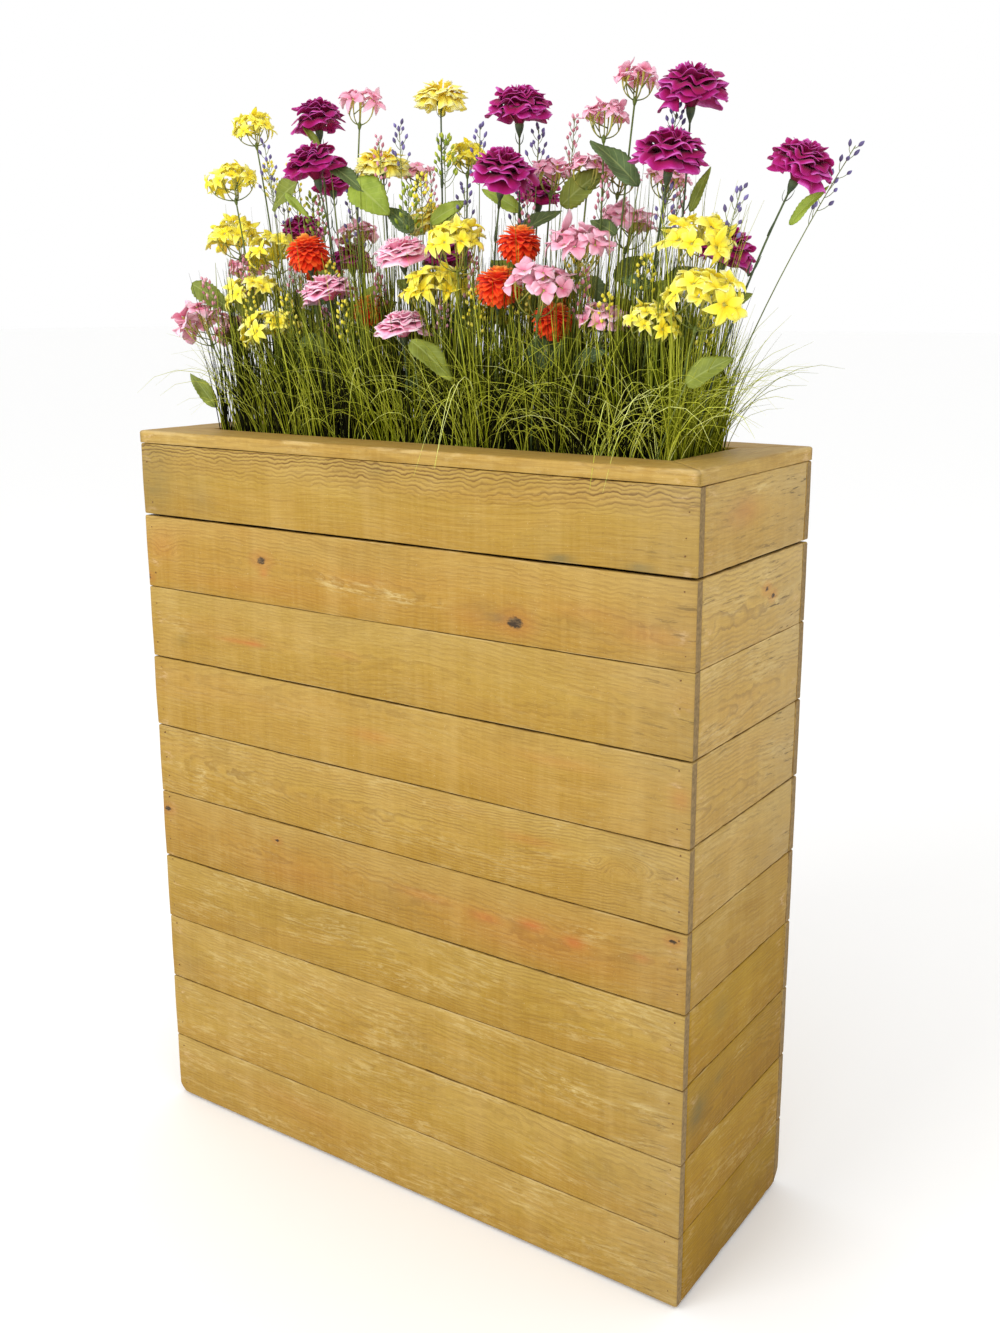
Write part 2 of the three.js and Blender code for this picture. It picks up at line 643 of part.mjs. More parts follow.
// Carnation stems without a leaf of their own get a small one where it finds room.
function sideLeaf(stem, heads) {
  for (const at of [0.7, 0.62, 0.78, 0.54]) {
    for (const heading of [250, 60, 150, 340, 200, 20]) {
      const leaf = { at, heading, rise: 25, long: 50, broad: 22 };
      const root = stem.curve.getPoint(at);
      const bearing = THREE.MathUtils.degToRad(heading);
      const way = vec(Math.cos(bearing), Math.sin(bearing), 0.2).multiplyScalar(leaf.long);
      const reach = [0.3, 0.6, 1].map((share) => root.clone().addScaledVector(way, share));
      const free = reach.every((point) => !insideHead(point, heads, 14));
      if (free) return [leafOf(stem, leaf)];
    }
  }
  return [];
}

// A spike: a thin stem with rings of small buds up its last stretch. One that finds no way is left out.
function spike({ foot, tip }, heads, taken) {
  const start = vec(foot[0], foot[1], TURF_TOP - GRASS.rooted);
  const end = vec(...tip);
  const knee = vec(lerp(start.x, end.x, 0.4), lerp(start.y, end.y, 0.4), lerp(start.z, end.z, 0.5));
  const curve = new THREE.QuadraticBezierCurve3(start, knee, end);
  const points = spaced(curve, GRASS.step);
  const blocked = points.some((p) => insideTimber(p) || insideHead(p, heads, 6));
  if (blocked || tooClose(points, taken, GRASS.clearance)) return null;
  claim(points, taken);
  const budded = 60 / curve.getLength();
  const stations = [0, 0.35, 0.7, 1 - budded];
  const halves = [1.7, 1.5, 1.3, 1.2];
  const buds = [4.4, 2, 4.6, 1.8, 3.6];
  buds.forEach((half, k) => {
    stations.push(1 - budded * (1 - (k + 0.8) / (buds.length + 0.6)));
    halves.push(half);
  });
  return skin(start, rod(stations.map((t) => curve.getPoint(t)), halves), end);
}

// ---- Grass --------------------------------------------------------------------------------------

// The line of a blade: it starts nearly upright and bends over more and more towards its tip.
function bladeLine(foot, bearing, long, lean, droop) {
  const steps = Math.ceil(long / GRASS.step);
  const line = [foot.clone()];
  for (let k = 0; k < steps; k += 1) {
    const s = (k + 0.5) / steps;
    const tilt = THREE.MathUtils.degToRad(lean + (droop - lean) * s ** 1.8);
    const next = line[k].clone();
    next.x += (long / steps) * Math.sin(tilt) * Math.cos(bearing);
    next.y += (long / steps) * Math.sin(tilt) * Math.sin(bearing);
    next.z += (long / steps) * Math.cos(tilt);
    line.push(next);
  }
  return line;
}

function bladeSkin(line, wide, bends) {
  const last = line.length - 1;
  const shares = Array.from({ length: bends }, (_, k) => (k / bends) * (bends > 2 ? 1 : 0.96));
  const places = shares.map((share) => line[Math.round(share * last)]);
  const halves = shares.map((share) => (wide / 2) * (1 - 0.55 * share));
  return skin(places[0], rod(places, halves, 0.62), line[last]);
}

// Blades are spread over the turf, clear of its edges.
function turfPoint(random) {
  const margin = 20;
  const x = (random() - 0.5) * (TURF.long - margin);
  const y = (random() - 0.5) * (TURF.deep - margin);
  return vec(x, y, TURF_TOP - GRASS.rooted);
}

// Blades stand evenly over the turf. The outer ones lean outwards, the others any way.
function grass(heads, taken) {
  const random = seededRandom(GRASS.seed);
  const between = ([low, high]) => lerp(low, high, random());
  const blades = [];
  for (const { count, long, lean, droop, wide, bends } of GRASS.kinds) {
    let placed = 0;
    for (let attempt = 0; attempt < count * 60 && placed < count; attempt += 1) {
      const foot = turfPoint(random);
      const outward = Math.atan2(foot.y * 3, foot.x);
      const bearing = outward + (random() - 0.5) * 3;
      const line = bladeLine(foot, bearing, between(long), between(lean), between(droop));
      const blocked = line.some((p) => insideTimber(p) || insideHead(p, heads, 3));
      if (!blocked && !tooClose(line, taken, GRASS.clearance)) {
        claim(line, taken);
        blades.push(bladeSkin(line, wide, bends));
        placed += 1;
      }
    }
  }
  return blades;
}

// ---- The planted bed ----------------------------------------------------------------------------

function turf() {
  const mat = new THREE.BoxGeometry(TURF.long, TURF.deep, TURF.high);
  return mat.translate(0, 0, TURF_TOP - TURF.high / 2);
}

function turnTo(axis) {
  return new THREE.Quaternion().setFromUnitVectors(UP, axis);
}

function plantedBed() {
  const heads = [...BLOOMS, ...REAR_BLOOMS];
  const taken = [];
  const random = seededRandom(7);
  const green = [turf()];
  const tally = {};
  for (const bloom of heads) {
    const stem = stemTo(bloom, heads, taken);
    const rear = REAR_BLOOMS.includes(bloom);
    const head = headOf(bloom.kind, bloom.wide, random, rear);
    green.push(stemSkin(stem));
    if (bloom.leaf) green.push(leafOf(stem, bloom.leaf));
    else if (bloom.kind.startsWith('carnation')) green.push(...sideLeaf(stem, heads));
    if (rear) {
      const sunk = stem.tip.clone().addScaledVector(stem.axis, -3);
      green.push(head.applyMatrix4(new THREE.Matrix4().compose(sunk, turnTo(stem.axis), vec(1, 1, 1))));
    } else {
      tally[bloom.kind] = (tally[bloom.kind] ?? 0) + 1;
      const mesh = piece(`${bloom.kind}_${tally[bloom.kind]}`, head, silk[bloom.kind]);
      mesh.position.copy(stem.tip).addScaledVector(stem.axis, SEAT);
      mesh.quaternion.copy(turnTo(stem.axis));
    }
  }
  for (const sprig of SPIKES) {
    const geometry = spike(sprig, heads, taken);
    if (geometry) green.push(geometry);
  }
  green.push(...grass(heads, taken));
  piece('grass_and_stems', toGeometry(join(green)), leafGreen);
}

walls();
capFrame();
frameInside();
plantingBlock();
plantedBed();

export default planter;
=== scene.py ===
"""A tall timber planter with a bed of silk meadow flowers and grass, dressed around its solid frame."""

import math

import bpy
import numpy as np
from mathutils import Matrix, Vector


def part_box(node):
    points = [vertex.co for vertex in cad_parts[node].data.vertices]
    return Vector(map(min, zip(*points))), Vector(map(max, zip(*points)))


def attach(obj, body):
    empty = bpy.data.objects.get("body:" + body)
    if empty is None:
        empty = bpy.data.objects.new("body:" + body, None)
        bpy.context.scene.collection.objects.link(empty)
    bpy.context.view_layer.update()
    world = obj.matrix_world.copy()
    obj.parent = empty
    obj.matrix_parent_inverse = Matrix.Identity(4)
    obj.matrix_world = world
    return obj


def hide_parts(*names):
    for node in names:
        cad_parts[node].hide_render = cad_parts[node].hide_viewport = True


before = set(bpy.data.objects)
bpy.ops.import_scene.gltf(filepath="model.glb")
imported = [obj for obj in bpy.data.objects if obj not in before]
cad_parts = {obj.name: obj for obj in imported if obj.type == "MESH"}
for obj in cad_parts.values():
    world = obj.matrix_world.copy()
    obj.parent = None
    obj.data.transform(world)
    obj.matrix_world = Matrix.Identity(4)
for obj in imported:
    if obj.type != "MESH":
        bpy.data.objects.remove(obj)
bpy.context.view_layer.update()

# ---- Stage --------------------------------------------------------------------------------------
# A pale studio floor, an even white surround and two large soft lamps. The camera stands at the
# right-hand front corner, a little above the rim, as the photograph was taken.

PHOTO = (1000, 1333)  # pixels
FOCAL = 1364.0  # pixels
OPTICAL_CENTRE = (521.7, 621.2)  # pixels
EYE = (1.0621, -1.4415, 1.1895)
LOOK = (-0.53946, 0.81117, -0.22579)  # heading
WHITE = (0.985, 0.985, 0.98, 1)


def camera():
    """The photograph's camera: focal length and centre in pixels give the lens and the shift."""
    data = bpy.data.cameras.new("camera")
    data.lens = FOCAL / PHOTO[1] * data.sensor_width
    data.shift_x = (PHOTO[0] / 2 - OPTICAL_CENTRE[0]) / PHOTO[1]
    data.shift_y = (OPTICAL_CENTRE[1] - PHOTO[1] / 2) / PHOTO[1]
    made = bpy.data.objects.new("camera", data)
    bpy.context.scene.collection.objects.link(made)
    made.location = EYE
    made.rotation_mode = "QUATERNION"
    made.rotation_quaternion = Vector(LOOK).to_track_quat("-Z", "Y")
    bpy.context.scene.camera = made


def lamp(name, place, aim, size, power):
    """A square area lamp that faces its aim."""
    data = bpy.data.lights.new(name, "AREA")
    data.shape = "SQUARE"
    data.size = size
    data.energy = power
    made = bpy.data.objects.new(name, data)
    bpy.context.scene.collection.objects.link(made)
    made.location = place
    made.rotation_mode = "QUATERNION"
    made.rotation_quaternion = (Vector(aim) - Vector(place)).to_track_quat("-Z", "Y")


def surround(brightness):
    """An even white world."""
    world = bpy.data.worlds.new("surround")
    bpy.context.scene.world = world
    world.use_nodes = True
    back = world.node_tree.nodes["Background"]
    back.inputs["Color"].default_value = (1, 1, 1, 1)
    back.inputs["Strength"].default_value = brightness


def floor(reach, colour):
    """A flat square on the ground."""
    mesh = bpy.data.meshes.new("floor")
    corners = [(-reach, -reach, 0), (reach, -reach, 0), (reach, reach, 0), (-reach, reach, 0)]
    mesh.from_pydata(corners, [], [(0, 1, 2, 3)])
    made = bpy.data.objects.new("floor", mesh)
    bpy.context.scene.collection.objects.link(made)
    paint = bpy.data.materials.new("floor")
    paint.use_nodes = True
    shader = paint.node_tree.nodes["Principled BSDF"]
    shader.inputs["Base Color"].default_value = colour
    shader.inputs["Roughness"].default_value = 0.9
    mesh.materials.append(paint)


camera()
bpy.context.scene.view_settings.view_transform = "Standard"
surround(1.0)
lamp("key", (-1.2, -3.4, 2.6), (0, 0, 0.9), 2.4, 70)
lamp("fill", (3.0, -2.4, 2.6), (0, 0, 1.0), 2.0, 16)
floor(60, WHITE)

# ---- Boards of the walls --------------------------------------------------------------------------
# Ten planed softwood boards on each side, nailed to the corner posts with open joints. The long walls
# cover the ends of the short ones, so their grey end grain shows at the corners. The wood is waxed
# honey yellow, with knots, scuffs and resin streaks.

MM = 0.001
front_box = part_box("front_boards")
side_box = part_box("right_boards")
WIDTH = front_box[1].x - front_box[0].x
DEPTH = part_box("back_boards")[1].y - front_box[0].y
BOARD = front_box[1].y - front_box[0].y
WALL_FOOT = front_box[0].z
WALL_TOP = front_box[1].z
SIDE_LONG = side_box[1].y - side_box[0].y
EASE = 1.6 * MM  # rounding of a board's edges
STEP = 5 * MM  # size of a board's faces
BOARD_HIGHS = np.array([99.5, 103, 102, 103, 102, 101, 97, 99, 98, 95.5])  # mm, from the top down
JOINTS = np.array([2.8, 0.7, 1.9, 1.6, 1.2, 1.6, 1.2, 1.2, 1.1]) * MM  # open joints, from the top down
FAR_FROM_KNOT = 9.0  # in radii of a knot, where it has no effect any more
CHIP_EVERY = 86 * MM  # along a board's edges
NAIL_IN = 14 * MM  # from a board's end
UNDER_CAP = 0.6 * MM  # gap between the walls and the cap


class Wire:
    """A shader socket. Arithmetic on it adds Math nodes, and node() adds any other node."""

    def __init__(self, tree, socket=None):
        self.tree = tree
        self.socket = socket

    def node(self, kind, settings=None, inputs=None, out=0):
        made = self.tree.nodes.new("ShaderNode" + kind)
        for key, value in (settings or {}).items():
            if key == "stops":
                ramp = made.color_ramp.elements
                while len(ramp) < len(value):
                    ramp.new(0.5)
                for stop, (at, colour) in zip(ramp, value):
                    stop.position = at
                    stop.color = (colour,) * 3 + (1,) if np.isscalar(colour) else colour
            else:
                setattr(made, key, value)
        for key, value in (inputs or {}).items():
            if isinstance(value, Wire):
                self.tree.links.new(value.socket, made.inputs[key])
            else:
                made.inputs[key].default_value = value
        return Wire(self.tree, made.outputs[out])

    def math(self, operation, *values):
        return self.node("Math", {"operation": operation}, dict(enumerate(values)))

    def __add__(self, other):
        return self.math("ADD", self, other)

    def __sub__(self, other):
        return self.math("SUBTRACT", self, other)

    def __rsub__(self, other):
        return self.math("SUBTRACT", other, self)

    def __mul__(self, other):
        return self.math("MULTIPLY", self, other)

    def __truediv__(self, other):
        return self.math("DIVIDE", self, other)

    __radd__ = __add__
    __rmul__ = __mul__

    def ramp(self, *stops):
        return self.node("ValToRGB", {"stops": stops}, {0: self})

    def attribute(self, name, out="Fac"):
        return self.node("Attribute", {"attribute_name": name}, out=out)

    def split(self):
        made = self.node("SeparateXYZ", inputs={0: self})
        return [Wire(self.tree, made.socket.node.outputs[i]) for i in range(3)]

    def join(self, x, y, z):
        return self.node("CombineXYZ", inputs={0: x, 1: y, 2: z})

    def noise(self, vector, scale, detail=2, rough=0.5):
        inputs = {"Vector": vector, "Scale": scale, "Detail": detail, "Roughness": rough}
        return self.node("TexNoise", inputs=inputs)

    def mix(self, share, low, high, blend="MIX"):
        settings = {"data_type": "RGBA", "blend_type": blend}
        return self.node("Mix", settings, {0: share, 6: low, 7: high}, out=2)


def colour(red, green, blue):
    """The linear colour of a display colour given in the range 0 to 255."""
    shares = np.array([red, green, blue]) / 255
    linear = np.where(shares < 0.04045, shares / 12.92, ((shares + 0.055) / 1.055) ** 2.4)
    return (*linear.tolist(), 1.0)


def finish_named(name, constants):
    """A new material with its Principled shader, whose constant sockets are set from the given values."""
    made = bpy.data.materials.new(name)
    made.use_nodes = True
    shader = made.node_tree.nodes["Principled BSDF"]
    for key, value in constants.items():
        shader.inputs[key].default_value = value
    return made, Wire(made.node_tree), shader


def feed(wire, shader, base=None, rough=None, height=None, strength=0.3, reach=0.001):
    """Links a colour, a roughness and a bump height to a shader."""
    if base:
        wire.tree.links.new(base.socket, shader.inputs["Base Color"])
    if rough:
        wire.tree.links.new(rough.socket, shader.inputs["Roughness"])
    if height:
        bump = wire.node("Bump", inputs={"Strength": strength, "Distance": reach, "Height": height})
        wire.tree.links.new(bump.socket, shader.inputs["Normal"])


def pine_finish(name, shine):
    """Rings are lines of equal distance from the log's heart, drawn faintly and broken here and there.

    log holds the place along and across the log from its heart, grain the figure's strength, its
    ripple and the pitch of the rings in millimetres, and tone the brightness, redness and greyness,
    which is a deeper gold below zero.
    face holds the scuffing, the share of the board's height, by which each board turns a deeper gold
    towards its foot and paler towards its top, and how unbroken the rings are.
    """
    made, w, shader = finish_named(name, {"Specular IOR Level": shine})
    along, across, depth = w.attribute("log", "Vector").split()
    bright, red, grey = w.attribute("tone", "Vector").split()
    figure, ripple, pitch = w.attribute("grain", "Vector").split()
    knot, blush, stain = w.attribute("marks", "Vector").split()
    edge, end, tip = w.attribute("wear", "Vector").split()
    scuffing, share, steady = w.attribute("face", "Vector").split()

    def field(x, y, detail=2, rough=0.55, shift=0.0):
        return w.noise(w.join(along * x + shift, across * y, depth * y), 1.0, detail, rough)

    heart = w.math("SQRT", across * across + depth * depth)
    sway = (field(5, 22, 3) - 0.5) * 0.016
    wave = (field(46, 40, 2, 0.5, 3.0) - 0.5) * ripple * 0.001
    rings = (heart + sway + wave) / (pitch * 0.001)
    count = w.math("FLOOR", rings)
    line = w.math("FRACT", rings).ramp((0, 0.1), (0.35, 0), (0.72, 0.8), (0.88, 1), (0.97, 0.2))
    broken = w.math("MAXIMUM", field(11, 40, 3, 0.6, 7.0).ramp((0.34, 0.3), (0.56, 1)), steady)
    each = w.node("TexWhiteNoise", {"noise_dimensions": "1D"}, {"W": count})
    line = line * broken * (0.5 + each * 0.5)
    fibre = field(22, 1100, 3, 0.65)
    streak = field(6, 210, 2)
    patch = field(4.5, 14, 3, 0.6)
    pinkish = field(3.2, 20, 3, 0.6, 11.0)
    band = field(16, 1.5, 2, 0.6, 21.0)
    brush = field(150, 9, 2, 0.6, 5.0)
    fleck = field(90, 420, 3, 0.7, 9.0)
    dirt = field(45, 70, 3, 0.6, 2.0)
    smear = field(56, 150, 4, 0.7, 13.0)
    blotch = field(9, 22, 4, 0.65, 17.0)
    speck = w.noise(w.join(along, across, depth), 420.0, 2, 0.7)
    cloud = field(9, 34, 4, 0.65, 4.0)
    stroke = field(24, 260, 4, 0.65, 29.0)

    # each board turns a deeper gold towards its foot and paler towards its top, broken by blotches and
    # patches
    deeper_low = (share + (blotch - 0.5) * 1.2).ramp((0, 1), (0.5, 0))
    paler_high = (share + (patch - 0.5) * 1.2).ramp((0.55, 0), (1, 1))
    dabs = w.math("MAXIMUM", smear.ramp((0.52, 0), (0.64, 1)), stroke.ramp((0.5, 0), (0.62, 1)))
    scuff = dabs * cloud.ramp((0.46, 0), (0.6, 1)) * scuffing
    grime = stroke.ramp((0.36, 1), (0.43, 0)) * cloud.ramp((0.42, 0), (0.56, 1)) * grey
    dark_rim = edge.ramp((0, 1), (0.16, 0)) * dirt.ramp((0.42, 0), (0.58, 1))
    rubbed = edge.ramp((0, 0), (0.1, 1), (0.34, 0)) * cloud.ramp((0.5, 0), (0.6, 1))
    ragged = knot + (smear - 0.5) * 0.12 + (speck - 0.5) * 0.08

    wood = w.mix(patch.ramp((0.3, 0), (0.7, 1)), colour(157, 121, 28), colour(174, 140, 52))
    figured = [
        (streak.ramp((0.35, 0), (0.7, 1)) * 0.4, (184, 150, 66)),
        (pinkish.ramp((0.46, 0), (0.72, 1)) * 0.4, (180, 135, 64)),
        (red, (172, 122, 40)),
        (deeper_low * 0.6, (157, 117, 18)),
        (paler_high * 0.4, (182, 154, 86)),
        (blotch.ramp((0.52, 0), (0.7, 1)) * 0.4, (146, 114, 42)),
        (band.ramp((0.5, 0), (0.66, 1)) * 0.3, (194, 162, 92)),
        (brush.ramp((0.35, 0), (0.7, 1)) * 0.22, (190, 156, 80)),
        (line * figure, (104, 70, 18)),
        (fibre.ramp((0.36, 1), (0.52, 0)) * 0.26, (118, 84, 28)),
        (fibre.ramp((0.55, 0), (0.7, 1)) * 0.24, (202, 172, 104)),
    ]
    for amount, paint in figured:
        wood = w.mix(amount, wood, colour(*paint))
    wood = w.mix(grey * -1.0, wood, (0.8, 0.71, 0.04, 1), "MULTIPLY")
    weathering = [
        (blush, (186, 92, 36)),
        (scuff * 0.8, (212, 190, 130)),
        (tip * smear.ramp((0.5, 0), (0.62, 1)) * 0.5, (208, 174, 128)),
        (tip * fleck.ramp((0.36, 1), (0.44, 0)) * 0.3, (128, 90, 52)),
        (speck.ramp((0.3, 1), (0.36, 0)) * 0.35, (112, 82, 40)),
        (speck.ramp((0.68, 0), (0.74, 1)) * 0.3, (222, 206, 160)),
        (stain * (0.25 + dirt * 0.9), (108, 98, 60)),
        (grey * (0.2 + cloud * 0.9), (156, 138, 98)),
        (grime * 1.3, (84, 66, 38)),
        (dark_rim * 0.6, (96, 62, 20)),
        (rubbed * 0.5, (214, 188, 130)),
        (knot.ramp((0.12, 1), (0.4, 0)) * 0.4, (168, 104, 44)),
    ]
    for amount, paint in weathering:
        wood = w.mix(amount, wood, colour(*paint))
    core = w.mix(smear.ramp((0.46, 0), (0.62, 1)), colour(56, 40, 20), colour(112, 88, 54))
    wood = w.mix(ragged.ramp((0.085, 1), (0.13, 0)), wood, core)
    end_grain = w.mix(streak.ramp((0.3, 0), (0.7, 1)), colour(148, 122, 78), colour(118, 96, 60))
    wood = w.mix(end, wood, end_grain)
    wood = w.mix(1.0, wood, w.join(bright, bright, bright), "MULTIPLY")
    rough = 0.5 + fibre * 0.22 + end * 0.2
    height = fibre * 0.5 - line * figure * 0.8 + cloud * 0.4 - ragged.ramp((0.08, 1), (0.12, 0)) * 1.5
    feed(w, shader, wood, rough, height, 0.5, 0.0006)
    return made


def drift(s, rng, size, swing, waves=4):
    """A smooth wandering line: a sum of sines of random phase, the longest about four sizes long."""
    share = np.arange(1, waves + 1)
    phase = rng.uniform(0, 2 * math.pi, waves)
    return swing * (np.sin(np.outer(s, share) / size * 1.6 + phase) / share).sum(1)


def piece(name, vertices, faces, paint, node, attributes, smooth=True):
    """One mesh object at the origin, its faces pointing out, which stands for its frame node."""
    mesh = bpy.data.meshes.new(name)
    mesh.from_pydata(vertices.tolist(), [], faces)
    for key, values in attributes.items():
        vector = values.shape[-1] == 3
        layer = mesh.attributes.new(key, "FLOAT_VECTOR" if vector else "FLOAT", "POINT")
        layer.data.foreach_set("vector" if vector else "value", values.astype(np.float32).ravel())
    mesh.materials.append(paint)
    mesh.polygons.foreach_set("use_smooth", np.full(len(mesh.polygons), smooth))
    mesh.update()
    made = bpy.data.objects.new(name, mesh)
    bpy.context.scene.collection.objects.link(made)
    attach(made, "root")
    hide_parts(node)


def ring_quads(rings, around):
    """Quads between neighbouring closed rings of points, numbered ring after ring."""
    i, j = np.meshgrid(np.arange(rings - 1), np.arange(around), indexing="ij")
    nxt = (j + 1) % around
    corners = [i * around + j, i * around + nxt, (i + 1) * around + nxt, (i + 1) * around + j]
    return np.stack(corners, -1).reshape(-1, 4)


def board_profile(high):
    """Loop round a board's section: up the face, round the top edge, down the back, round the foot.

    Returns the heights across the board and the depths behind its face.
    """
    face = np.linspace(EASE, high - EASE, max(4, round((high - 2 * EASE) / STEP) + 1))
    turn = np.radians([30, 60, 90])
    top = [high - EASE + EASE * np.sin(turn), EASE - EASE * np.cos(turn)]
    across = np.concatenate([face, top[0], [high, 0], (high - top[0])[::-1]])
    depth = np.concatenate([0 * face, top[1], [BOARD, BOARD], top[1][::-1]])
    return across, depth


def board(name, long, high, put, rng, traits, node):
    """A board swept along its length: its section wanders a little, its edges are worn and chipped.

    put turns (along, across, depth) into the place on the planter. The lower corners may be cut off,
    which shortens each line along the board by what it lies below the cut.
    """
    across, depth = board_profile(high)
    count = max(6, round(long / STEP))
    ends = np.array([0, 0, 0.7, 1.6]) * MM
    along = np.concatenate([ends, np.linspace(6 * MM, long - 6 * MM, count), long - ends[::-1]])
    s, t = np.meshgrid(along, across, indexing="ij")
    d = np.broadcast_to(depth, s.shape).copy()
    inset = np.interp(s, [0, 1.4 * MM, long - 1.4 * MM, long], [0.9 * MM, 0, 0, 0.9 * MM])
    share = t / high
    upper = drift(along, rng, 0.16, 0.22 * MM)[:, None]
    lower = drift(along, rng, 0.13, 0.22 * MM)[:, None]
    face = d < BOARD * 0.5
    worn = np.exp(-np.minimum(share, 1 - share) * high / (2.5 * MM)) * face
    chips = sum(
        rng.uniform(0.3, 1.3) * MM
        * np.exp(-(((s - rng.uniform(0, long)) / rng.uniform(2 * MM, 9 * MM)) ** 2))
        * (share > 0.5 if rng.random() < 0.5 else share < 0.5)
        for _ in range(int(long / CHIP_EVERY) + 2)
    )
    place_t = t + share * upper + (1 - share) * lower + inset * (1 - 2 * share)
    cup = 0.25 * MM * np.cos(share * 2 * math.pi)
    swell = drift(along, rng, 0.2, 0.12 * MM)[:, None] * np.sin(share * 4 + rng.uniform(0, 3))
    place_d = d + inset * np.where(face, 1, -1) + worn * chips + (cup + swell) * face
    caps = np.isin(np.arange(len(along)), [0, len(along) - 1])
    shrink = np.where(caps, 0.985, 1.0)[:, None]
    place_t = high / 2 + (place_t - high / 2) * shrink
    place_d = BOARD / 2 + (place_d - BOARD / 2) * shrink
    cuts = traits.get("cuts", (0, 0))
    first, last = (np.clip(cut * MM - place_d - place_t, 0, None) for cut in cuts)
    place_s = first + s * (long - first - last) / long
    vertices = put(place_s, place_t, place_d).reshape(-1, 3)
    rings, around = s.shape
    end_ring = np.arange(around)
    ends = [end_ring[::-1].tolist(), ((rings - 1) * around + end_ring).tolist()]
    faces = ring_quads(rings, around).tolist() + ends

    def spots(kind):
        """Sum of soft oval spots: strength times exp of minus the squared distance over their sizes."""
        total = np.zeros(s.shape)
        for at, up, reach, tall, strength in traits.get(kind, []):
            away = ((s - at * long) / (reach * MM)) ** 2 + ((t - up * high) / (tall * MM)) ** 2
            total += strength * np.exp(-away)
        return total

    near = np.full(s.shape, FAR_FROM_KNOT)
    swell_round = spots("eyes") * MM
    for at, up, radius in traits.get("knots", []):
        away = np.hypot((s - at * long) * 0.62, t - up * high) / (radius * MM)
        near = np.minimum(near, away)
        swell_round += radius * 0.9 * MM * np.exp(-((away / 2.6) ** 2))
    heart_up, heart_deep, lean = traits["heart"]
    bend = drift(along, rng, 0.3, 6 * MM)[:, None]
    heart_depth = d + heart_deep * MM + lean * (s - long / 2) + swell_round
    log = np.stack([s + rng.uniform(0, 50), t - heart_up * high + bend, heart_depth], -1)
    figure, ripple, pitch, fade = traits["grain"]
    strength = figure * (1 - fade + fade * np.clip((share - 0.55) / 0.35, 0, 1))
    ends_away = np.minimum(s, long - s)
    tip = np.exp(-((ends_away - 16 * MM) ** 2) / (10 * MM) ** 2)
    tip = tip * np.clip(drift(across, rng, 0.02, 0.8), 0, 1)
    close = np.minimum(np.minimum(t, high - t) / (5 * MM), 1.0)
    end = np.broadcast_to(caps[:, None], s.shape).astype(float)
    tone = np.broadcast_to(np.array(traits["tone"], float), (*s.shape, 3)).copy()
    tone[..., 0] *= 1 - traits.get("fade", 0) * s / long
    if traits["tone"][2] > -0.3:
        tone[..., 2] += 0.4 * np.exp(-(((long - s) / (95 * MM)) ** 2))
    attributes = {
        "log": log,
        "tone": tone,
        "grain": np.stack([strength, 0 * s + ripple, 0 * s + pitch], -1),
        "marks": np.stack([near / FAR_FROM_KNOT, spots("blush"), spots("stain")], -1),
        "wear": np.stack([close, end, tip], -1),
        "face": np.stack([spots("scuff") + traits["worn"], share, 0 * s + traits.get("steady", 0)], -1),
    }
    paint = dull_pine if traits.get("dull") else pine
    piece(name, vertices, faces, paint, node, attributes)


pine = pine_finish("waxed_pine", 0.3)
dull_pine = pine_finish("dull_pine", 0.14)

# How the boards that the photograph shows differ, from the top down: tone (brightness, redness and
# greyness), heart (the log's middle as a share of the height, mm deep, slope), grain (the figure's
# strength, its ripple and ring pitch in mm, how far it keeps to the top of the board) and wear all over
LOOKS = {
    "front": [
        ((0.98, 0, 0), (1.5, 6, 0), (1.3, 13, 5.2, 0.85), 0.09),
        ((0.99, 0.35, 0), (0.45, 16, 0.03), (0.34, 8, 4.4, 0), 0.06),
        ((0.965, 0.05, 0), (0.4, 14, 0.05), (0.27, 7, 4.6, 0), 0.12),
        ((0.98, 0.2, 0), (0.8, 14, -0.04), (0.27, 5, 4, 0), 0.12),
        ((0.98, 0.1, 0), (0.55, 10, -0.06), (0.5, 6, 3.8, 0), 0.3),
        ((0.93, 0.5, -0.12), (0.5, 20, 0.03), (0.37, 7, 4, 0), 0.15),
        ((0.955, 0, -0.22), (0.5, 12, 0.03), (0.34, 7, 4, 0), 0.42),
        ((0.97, 0, 0), (0.4, 14, 0.04), (0.31, 8, 4.4, 0), 0.42),
        ((0.97, 0, 0), (0.7, 16, 0.03), (0.31, 8, 4, 0), 0.42),
        ((0.98, 0, 0.05), (0.3, 18, 0.05), (0.31, 7, 4.4, 0), 0.48),
    ],
    "right": [
        ((1.17, 0.25, 0.3), (0.6, 16, 0.05), (0.34, 6, 4.4, 0), 0.18),
        ((1.29, 0.15, 0.45), (0.5, 20, 0.03), (0.75, 10, 5.4, 0), 0.36),
        ((1.25, 0.15, 0.4), (0.3, 16, 0.05), (0.62, 9, 5, 0), 0.4),
        ((1.16, 0.15, 0.3), (0.3, 16, 0.05), (0.55, 8, 4.6, 0), 0.34),
        ((1.08, 0.1, 0.2), (0.7, 12, 0.05), (0.31, 6, 4, 0), 0.24),
        ((0.99, 0.1, -0.35), (0.4, 18, 0.02), (0.31, 6, 4, 0), 0.24),
        ((1, 0.1, -0.8), (0.4, 18, 0.02), (0.27, 5, 4, 0), 0.18),
        ((0.895, 0.3, -0.8), (0.4, 16, 0.06), (0.36, 5, 4, 0), 0.12),
        ((0.975, 0.1, -0.75), (0.4, 16, 0.06), (0.36, 5, 4, 0), 0.3),
        ((0.93, 0.1, -0.95), (0.4, 16, 0.06), (0.34, 5, 4, 0), 0.3),
    ],
}

